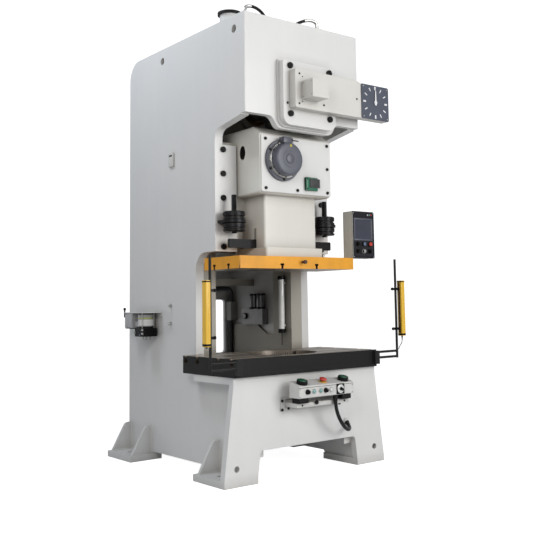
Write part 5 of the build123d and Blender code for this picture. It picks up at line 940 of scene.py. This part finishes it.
# The palm buttons are dark green plastic mushrooms in black collars. The emergency stop is a red
# mushroom with a waist and turns on a yellow square pad.
palm_green = moulded("palm_green", (16, 84, 58), roughness=0.28)
stop_red = moulded("stop_red", (208, 58, 46), roughness=0.24, coat=0.5)
coat_nodes(palm_green, "palm_button_left", "palm_button_right")
coat_nodes(stop_red, "e_stop_button")
collar_form = bmesh.new()
for side, name in ((-1, "left"), (1, "right")):
    top_place = standing(stop_button_x + side * palm_pitch, lid_y, lid_z, lid_tilt)
    palm_form = bmesh.new()
    turned(palm_form, top_place, [(0, 8), (30.5, 8), (30.6, 21.5), (29.8, 24.6), (27, 26.8), (19, 28.7),
                                  (9, 29.7), (0, 30)], steps=48)
    turned(collar_form, top_place, [(31.2, -1), (37.6, -1), (38, 1), (36.6, 23.5), (35.4, 25), (32.4, 25),
                                    (31.2, 23.5), (31.2, -1)], steps=48)
    turned(palm_form, top_place, [(0, -9), (7.8, -9), (7.8, 9), (0, 9)], steps=24)
    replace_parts(new_piece("palm_cap_" + name, palm_form, [palm_green], "palm_button_" + name, 30.0),
                "palm_button_" + name)
new_piece("palm_collars", collar_form, [switch_black], "frame")
stop_form = bmesh.new()
turned(stop_form, standing(stop_button_x, lid_y, lid_z, lid_tilt), [
    (0, -8), (7.8, -8), (7.8, 12), (18.5, 12), (19.5, 14.5), (25.2, 17), (25.6, 21.5), (24, 25), (19, 27.2),
    (10, 28.4), (0, 28.8)], steps=48)
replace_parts(new_piece("stop_mushroom", stop_form, [stop_red], "e_stop_button", 30.0), "e_stop_button")

# The control cable is a black rubber cable that leaves the box through a gland, hangs in one loop
# and goes into the bed plate. Tapered boots relieve it at both ends.
cable_rubber = rubber("cable_rubber", (17, 17, 18), 0.45)
cable_points = [(0.109, -0.960, 0.514), (0.109, -0.960, 0.466), (0.126, -0.959, 0.402), (0.164, -0.951, 0.342),
                (0.218, -0.934, 0.294), (0.276, -0.904, 0.272), (0.320, -0.866, 0.284), (0.326, -0.826, 0.312)]
cable = cord_curve("control_lead", cable_points, 0.0125, cable_rubber)
boot_form = bmesh.new()
ferrule(boot_form, standing(0.109, -0.960, 0.5145, pi), 12.6, 18.5, 34)
plate_end = Vector(cable_points[-1])
into_plate = (Vector(cable_points[-2]) - plate_end).normalized()
aim = into_plate.to_track_quat("Z", "Y").to_matrix().to_4x4()
ferrule(boot_form, Matrix.Translation(plate_end - 0.004 * into_plate) @ aim, 12.6, 17.5, 32)
boots = new_piece("cable_boots", boot_form, [cable_rubber], "frame")
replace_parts(cable, "control_cable")


# The light curtains are yellow aluminium extrusions with dark windows on their inner faces, black
# end caps and black clamps. They hang on black steel poles that are bolted to the bolster.
def clear_dark(name, colour, roughness=0.08, coat=1.0):
    """Dark glossy glass or acrylic with faint smears."""
    return coated(name, colour, [1.3 * c + 6 for c in colour], (120, 116, 108),
                  dict(Patch=9.0, Clouds=0.3, Dirt=0.15, Reach=0.01),
                  dict(Grain=60.0, Roughness=roughness, Spread=0.15), 0.00003, values={"Coat Weight": coat})


def sideways(side, x, y, z):
    """Place whose height axis points to the left for -1, and to the right for 1."""
    return Matrix.Translation((x, y, z)) @ Matrix.Rotation(side * pi / 2, 4, "Y")


curtain_yellow = enamel("curtain_yellow", (244, 198, 58), (236, 186, 48), (120, 100, 60), edge=0.001)
window_dark = clear_dark("window_dark", (58, 34, 24))
groove_shade = moulded("groove_shade", (150, 112, 40), roughness=0.5)
coat_nodes(satin_black, "curtain_poles")
bar_front, bar_back, bar_low, bar_high = -0.896, -0.848, 0.895, 1.305
for side, name in ((-1, "left"), (1, "right")):
    curtain = "light_curtain_" + name
    mid = side * 0.858
    dressed(curtain, "curtain_bar_" + name, curtain, [
        (curtain_yellow, None),
        (switch_black, lambda p, n: p.z < bar_low + 0.0001 or abs(p.x) < 0.8398),
    ])
    trim_form = bmesh.new()
    for base, top in ((bar_low - 0.0002, bar_low + 0.022), (bar_high - 0.016, bar_high + 0.0004)):
        slab(trim_form, (mid - 0.0186, bar_front - 0.0006, base), (mid + 0.0186, bar_back + 0.0006, top),
             0.0055)
    inner_face = mid - side * 0.018
    window = sorted((inner_face - side * 0.0012, inner_face + side * 0.002))
    slab(trim_form, (window[0], bar_front + 0.016, bar_low + 0.020),
         (window[1], bar_back - 0.014, bar_high - 0.014), 0.0006, finish=1)
    for across in (-0.010, 0.0, 0.010):
        slab(trim_form, (mid + across - 0.0005, bar_front - 0.0003, bar_low + 0.022),
             (mid + across + 0.0005, bar_front + 0.002, bar_high - 0.016), 0.0001, finish=2)
    for height in (0.948, 1.243):
        turned(trim_form, sideways(-side, side * (0.819 - 0.034), -0.854, height),
               [(0, -6), (10, -6), (11.2, -4), (11.2, 3), (9.5, 6), (0, 6.2)], steps=12)
    new_piece("curtain_trim_" + name, trim_form, [switch_black, window_dark, groove_shade], curtain)
curtain_points = [(0.858, -0.872, 0.885), (0.858, -0.872, 0.866), (0.858, -0.868, 0.846),
                  (0.850, -0.863, 0.829), (0.840, -0.858, 0.813), (0.834, -0.855, 0.795)]
curtain_lead = cord_curve("curtain_lead", curtain_points, 0.0025, cable_rubber, "light_curtain_right")
relief_form = bmesh.new()
ferrule(relief_form, standing(*curtain_points[0], pi), 2.6, 5.2, 22)
relief = new_piece("curtain_relief", relief_form, [cable_rubber], "light_curtain_right")
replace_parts(curtain_lead, "curtain_cable")

# The touch panel is a beige-grey sheet steel box on a bent plated tube. Its front is a dark blue
# plate with a screen, two rows of switches and three small lamps.
panel_beige = enamel("panel_beige", (218, 216, 206), (210, 208, 198), (96, 90, 78), roughness=0.38)
panel_navy = worn_paint("panel_navy", (18, 19, 28), (90, 90, 96), roughness=0.4, amount=0.08)
screen_glass = clear_dark("screen_glass", (50, 54, 68), roughness=0.2, coat=0.3)
bezel_blue = worn_paint("bezel_blue", (78, 82, 98), (150, 150, 154), roughness=0.42, amount=0.1)
button_blue = moulded("button_blue", (96, 112, 140))
arm_steel = ground_metal("arm_steel", (196, 196, 194), (160, 160, 158), lines=(8.0, 8.0, 8.0), roughness=0.3,
                         oil=0.25)
coat_nodes(arm_steel, "panel_arm")
panel_low, panel_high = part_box("panel_box")
panel_front, panel_mid = -0.576, (panel_low.x + panel_high.x) / 2
screen_low_z, screen_high_z, screen_half = panel_high.z - 0.215, panel_high.z - 0.065, 0.085
dressed("panel_box", "panel_case", "panel_box", [
    (panel_beige, None),
    (panel_navy, lambda p, n: n.y < -0.9 and p.y < panel_front + 0.0005),
    (screen_glass, lambda p, n: p.y < panel_front + 0.006 and abs(p.x - panel_mid) < screen_half
     and p.z > screen_low_z - 0.001 and (p.y > panel_front + 0.001 or abs(n.y) < 0.5)),
    (switch_black, lambda p, n: p.y < panel_front - 0.0005),
])
panel_form = bmesh.new()
rim = screen_half + 0.012
frame_bars = ((-rim, rim, screen_high_z, screen_high_z + 0.012),
              (-rim, rim, screen_low_z - 0.012, screen_low_z),
              (-rim, -screen_half, screen_low_z, screen_high_z),
              (screen_half, rim, screen_low_z, screen_high_z))
line_low, line_high = panel_low.z + 0.026, panel_low.z + 0.140
outline = ((-0.094, 0.094, line_low, line_low + 0.0014), (-0.094, 0.094, line_high, line_high + 0.0014),
           (-0.094, -0.0926, line_low, line_high), (0.0926, 0.094, line_low, line_high))
for bars, proud, edge in ((frame_bars, 0.0022, 0.0008), (outline, 0.0004, 0.0002)):
    for low_x, high_x, low_z, high_z in bars:
        slab(panel_form, (panel_mid + low_x, panel_front - proud, low_z),
             (panel_mid + high_x, panel_front + 0.001, high_z), edge)
slab(panel_form, (panel_low.x + 0.0035, panel_front - 0.0005, panel_low.z + 0.010),
     (panel_low.x + 0.0065, panel_front + 0.001, panel_high.z - 0.010), 0.0002, finish=6)
for x, number in ((0.048, 4), (0.066, 5), (0.084, 3)):
    turned(panel_form, forward(panel_mid + x, panel_front, panel_high.z - 0.026),
           [(0, 0), (5.5, 0), (5.5, 2.5), (3.5, 4.2), (0, 4.6)], steps=20, finish=number)
for across, rise, number in ((-1, 0.055, 1), (0, 0.055, 7), (1, 0.055, 1),
                             (-1, 0.110, 1), (0, 0.110, 2), (1, 0.110, 3)):
    spot = forward(panel_mid + across * 0.062, panel_front, panel_low.z + rise)
    turned(panel_form, spot, [(11.8, 0), (17.8, 0), (17.8, 3), (16.5, 4.5), (13.3, 4.5), (11.8, 3), (11.8, 0)],
           steps=32, finish=7 if number == 7 else 1)
    if number == 3:
        turned(panel_form, spot, [(0, 10), (15, 10), (15.2, 17.5), (13.5, 19.8), (0, 20.5)], 32, number)
    elif number == 2:
        turned(panel_form, spot, [(0, 10), (13.6, 10), (13.6, 16.8), (12.5, 17.8), (0, 18)], 32, number)
    elif number == 7:
        turned(panel_form, spot, [(0, 15), (12.8, 15), (12.8, 16.4), (11.8, 17.2), (0, 17.2)], 28, number)
        slab(panel_form, (-0.0007, -0.0042, 0.017), (0.0007, 0.0042, 0.0176), finish=1, place=spot)
    else:
        slab(panel_form, (-0.0032, -0.0122, 0.014), (0.0032, 0.0122, 0.0215), 0.001, finish=1,
             place=spot @ Matrix.Rotation(radians(-30), 4, "Z"))
new_piece("panel_fittings", panel_form, [bezel_blue, switch_black, button_blue, stop_red, lens_pale, lens_cyan,
                                         panel_beige, zinc], "panel_box")
screws("panel_corner_screws", [(x, panel_front, z) for x in (panel_low.x + 0.014, panel_high.x - 0.010)
                               for z in (panel_low.z + 0.012, panel_high.z - 0.012)], 0.0035, 0.0018,
       body="panel_box", finish=zinc)

# The lubricator hangs on a bracket on the left side plate: an oil pump with a clear reservoir, a
# small grey gear motor and a hand lever. Thin plated outlets lead down from its base.
# The oil's darker corner tone is painted shade.
oil_gold = coated("oil_gold", (178, 176, 88), (150, 148, 70), (90, 84, 50),
                  dict(Patch=14.0, Clouds=0.6, Dirt=0.3, Reach=0.02),
                  dict(Grain=40.0, Roughness=0.12, Spread=0.1), 0.00003, values={"Coat Weight": 1.0})
reservoir_clear = moulded("reservoir_clear", (158, 160, 156), roughness=0.14, coat=1.0)
plain_label = moulded("plain_label", (226, 227, 224), roughness=0.5, coat=0.0)
lube_grey = enamel("lube_grey", (186, 188, 190), (176, 178, 180), (110, 104, 92), roughness=0.4, edge=0.0012)
lube_x, tank_y, tank_low, tank_high, tank_radius = -0.584, 0.406, 0.985, 1.097, 0.058
dressed("lubricator", "lubricator_body", "frame", [
    (frame_enamel, None),
    (switch_black, lambda p, n: p.z < tank_low + 0.0005 and p.y < 0.49 and p.x < -0.52),
    (lube_grey, lambda p, n: p.y > 0.49 and p.z < tank_high - 0.0005 and p.x < -0.52),
    (reservoir_clear, lambda p, n: tank_low + 0.0005 < p.z < tank_high - 0.0005 and p.y < 0.49
     and p.x < -0.52),
    (zinc, lambda p, n: p.z < 0.9215 and p.y < 0.49),
])
lube_form = bmesh.new()
for profile, number in (
        ([(57.5, -1), (61, -1), (61, 10), (58.6, 12.5), (57.5, 12.5)], 0),
        ([(57.5, 101.5), (62.5, 101.5), (63.5, 103), (63.5, 110), (62.5, 111.5), (57.5, 111.5)], 0),
        ([(57.5, 68), (58.4, 69), (58.4, 78), (57.5, 79)], 1),
        ([(57.5, 18), (58.3, 18.5), (58.3, 63.5), (57.5, 64)], 2)):
    turned(lube_form, standing(lube_x, tank_y, tank_low), profile, 56, number)
for angle in (35, 125, 215, 305):
    reach = tank_radius + 0.0065
    post = (lube_x + reach * cos(radians(angle)), tank_y + reach * sin(radians(angle)), tank_low - 0.002)
    turned(lube_form, standing(*post), [(0, 0), (3.2, 0), (3.2, 114), (0, 114)], 14, 3)
for y, z in ((0.352, 0.945), (0.352, 0.972), (0.470, 0.950)):
    turned(lube_form, sideways(-1, lube_x - 0.054, y, z),
           [(0, 0), (8.5, 0), (8.5, 6), (6, 7), (6, 13), (4.5, 15), (0, 15)], 6, 3)
for across in (-0.030, 0.0, 0.030):
    turned(lube_form, standing(lube_x + across, 0.398, 0.897),
           [(0, -1), (8.8, -1), (8.8, 7), (7.2, 8), (7.2, 13), (0, 13)], 6, 3)
slab(lube_form, (lube_x - 0.0445, 0.552, 0.992), (lube_x - 0.0415, 0.661, 1.090), 0.0012, 4)
slab(lube_form, (lube_x - 0.040, 0.549, 0.978), (lube_x + 0.040, 0.664, 0.9855), 0.002, 0)
slab(lube_form, (lube_x - 0.0560, 0.3985, 0.930), (lube_x - 0.0545, 0.4135, 0.940), 0.0004, 5)
new_piece("lubricator_fittings", lube_form, [switch_black, oil_gold, plain_label, zinc, lube_grey,
                                             button_blue], "frame")
dressed("lube_lever", "pump_lever", "lube_lever", [(satin_black, None)])
grip_form = bmesh.new()
turned(grip_form, standing(lube_x - 0.017, 0.722, 1.067 + 0.048),
       [(0, 0), (6.2, 1), (9, 6), (10.4, 12), (9.8, 18), (6, 22.5), (0, 24)], 28)
new_piece("pump_knob", grip_form, [switch_black], "lube_lever", 60.0)

# A small sheet metal pocket for the work card is riveted high on the left side plate, and two
# plated pipe plugs sit in its bosses lower down.
pocket_form = bmesh.new()
slab(pocket_form, (-0.5262, 0.105, 2.185), (-0.5118, 0.171, 2.290), 0.0025)
slab(pocket_form, (-0.5270, 0.117, 2.262), (-0.5255, 0.159, 2.274), 0.0004, finish=1)
new_piece("card_pocket", pocket_form, [case_enamel, switch_black], "frame")
plug_form = bmesh.new()
for height in (1.148, 1.018):
    turned(plug_form, sideways(-1, -0.512, 0.158, height),
           [(0, -1), (13, -1), (13, 6), (11.5, 7), (8.5, 7.5), (8.5, 20), (7.2, 22), (0, 22)], 24)
new_piece("pipe_plugs", plug_form, [zinc], "frame")

# In the throat an air service unit with two clear bowls hangs on the right side plate, beside a
# plastic junction box with its conduits and an upright tube lamp with black caps.
conduit_grey = moulded("conduit_grey", (58, 58, 60), roughness=0.5)
box_grey = moulded("box_grey", (150, 150, 146), roughness=0.45)
lamp_white = moulded("lamp_white", (246, 247, 246), roughness=0.18, coat=1.0)
bowl_smoke = clear_dark("bowl_smoke", (92, 96, 96), roughness=0.12)
air_metal = ground_metal("air_metal", (150, 150, 150), (120, 120, 120), lines=(4.0, 4.0, 4.0), roughness=0.42,
                         metal=0.7)
air_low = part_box("air_unit")[0]
dressed("air_unit", "air_service", "frame", [
    (air_metal, None),
    (bowl_smoke, lambda p, n: p.z > air_low.z + 0.1285),
])
air_form = bmesh.new()
for y in (0.295, 0.391):
    bowl = standing(0.408, y, 1.109)
    turned(air_form, bowl, [(33.5, -1), (36.5, -1), (36.5, 12), (35, 14), (33.5, 14)])
    turned(air_form, bowl, [(33.5, 108), (36.5, 109), (37, 122), (34, 124.5), (12, 124.5), (11, 124.8),
                            (0, 124.8)])
gauge = sideways(-1, 0.3855, 0.480, 1.050)
turned(air_form, gauge, [(0, 0), (24, 0), (24.5, 2), (24.5, 16), (22.5, 17.5), (20.5, 16), (0, 15.8)])
turned(air_form, gauge, [(0, 15.8), (20.3, 15.8), (20.3, 16.6), (0, 16.6)], finish=1)
new_piece("air_fittings", air_form, [switch_black, plain_label], "frame")
dressed("junction_box", "junction_case", "frame", [
    (conduit_grey, None),
    (box_grey, lambda p, n: 0.379 < p.x < 0.441 and 1.0115 < p.z < 1.1725 and p.y > 0.6905
     and (abs(p.x - 0.410) > 0.0192 or abs(n.z) > 0.5 or p.y < 0.6915)),
])
lamp_low, lamp_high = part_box("work_lamp")
dressed("work_lamp", "tube_lamp", "frame", [
    (lamp_white, None),
    (switch_black, lambda p, n: p.z < lamp_low.z + 0.1241 or p.z > lamp_high.z - 0.0301),
])
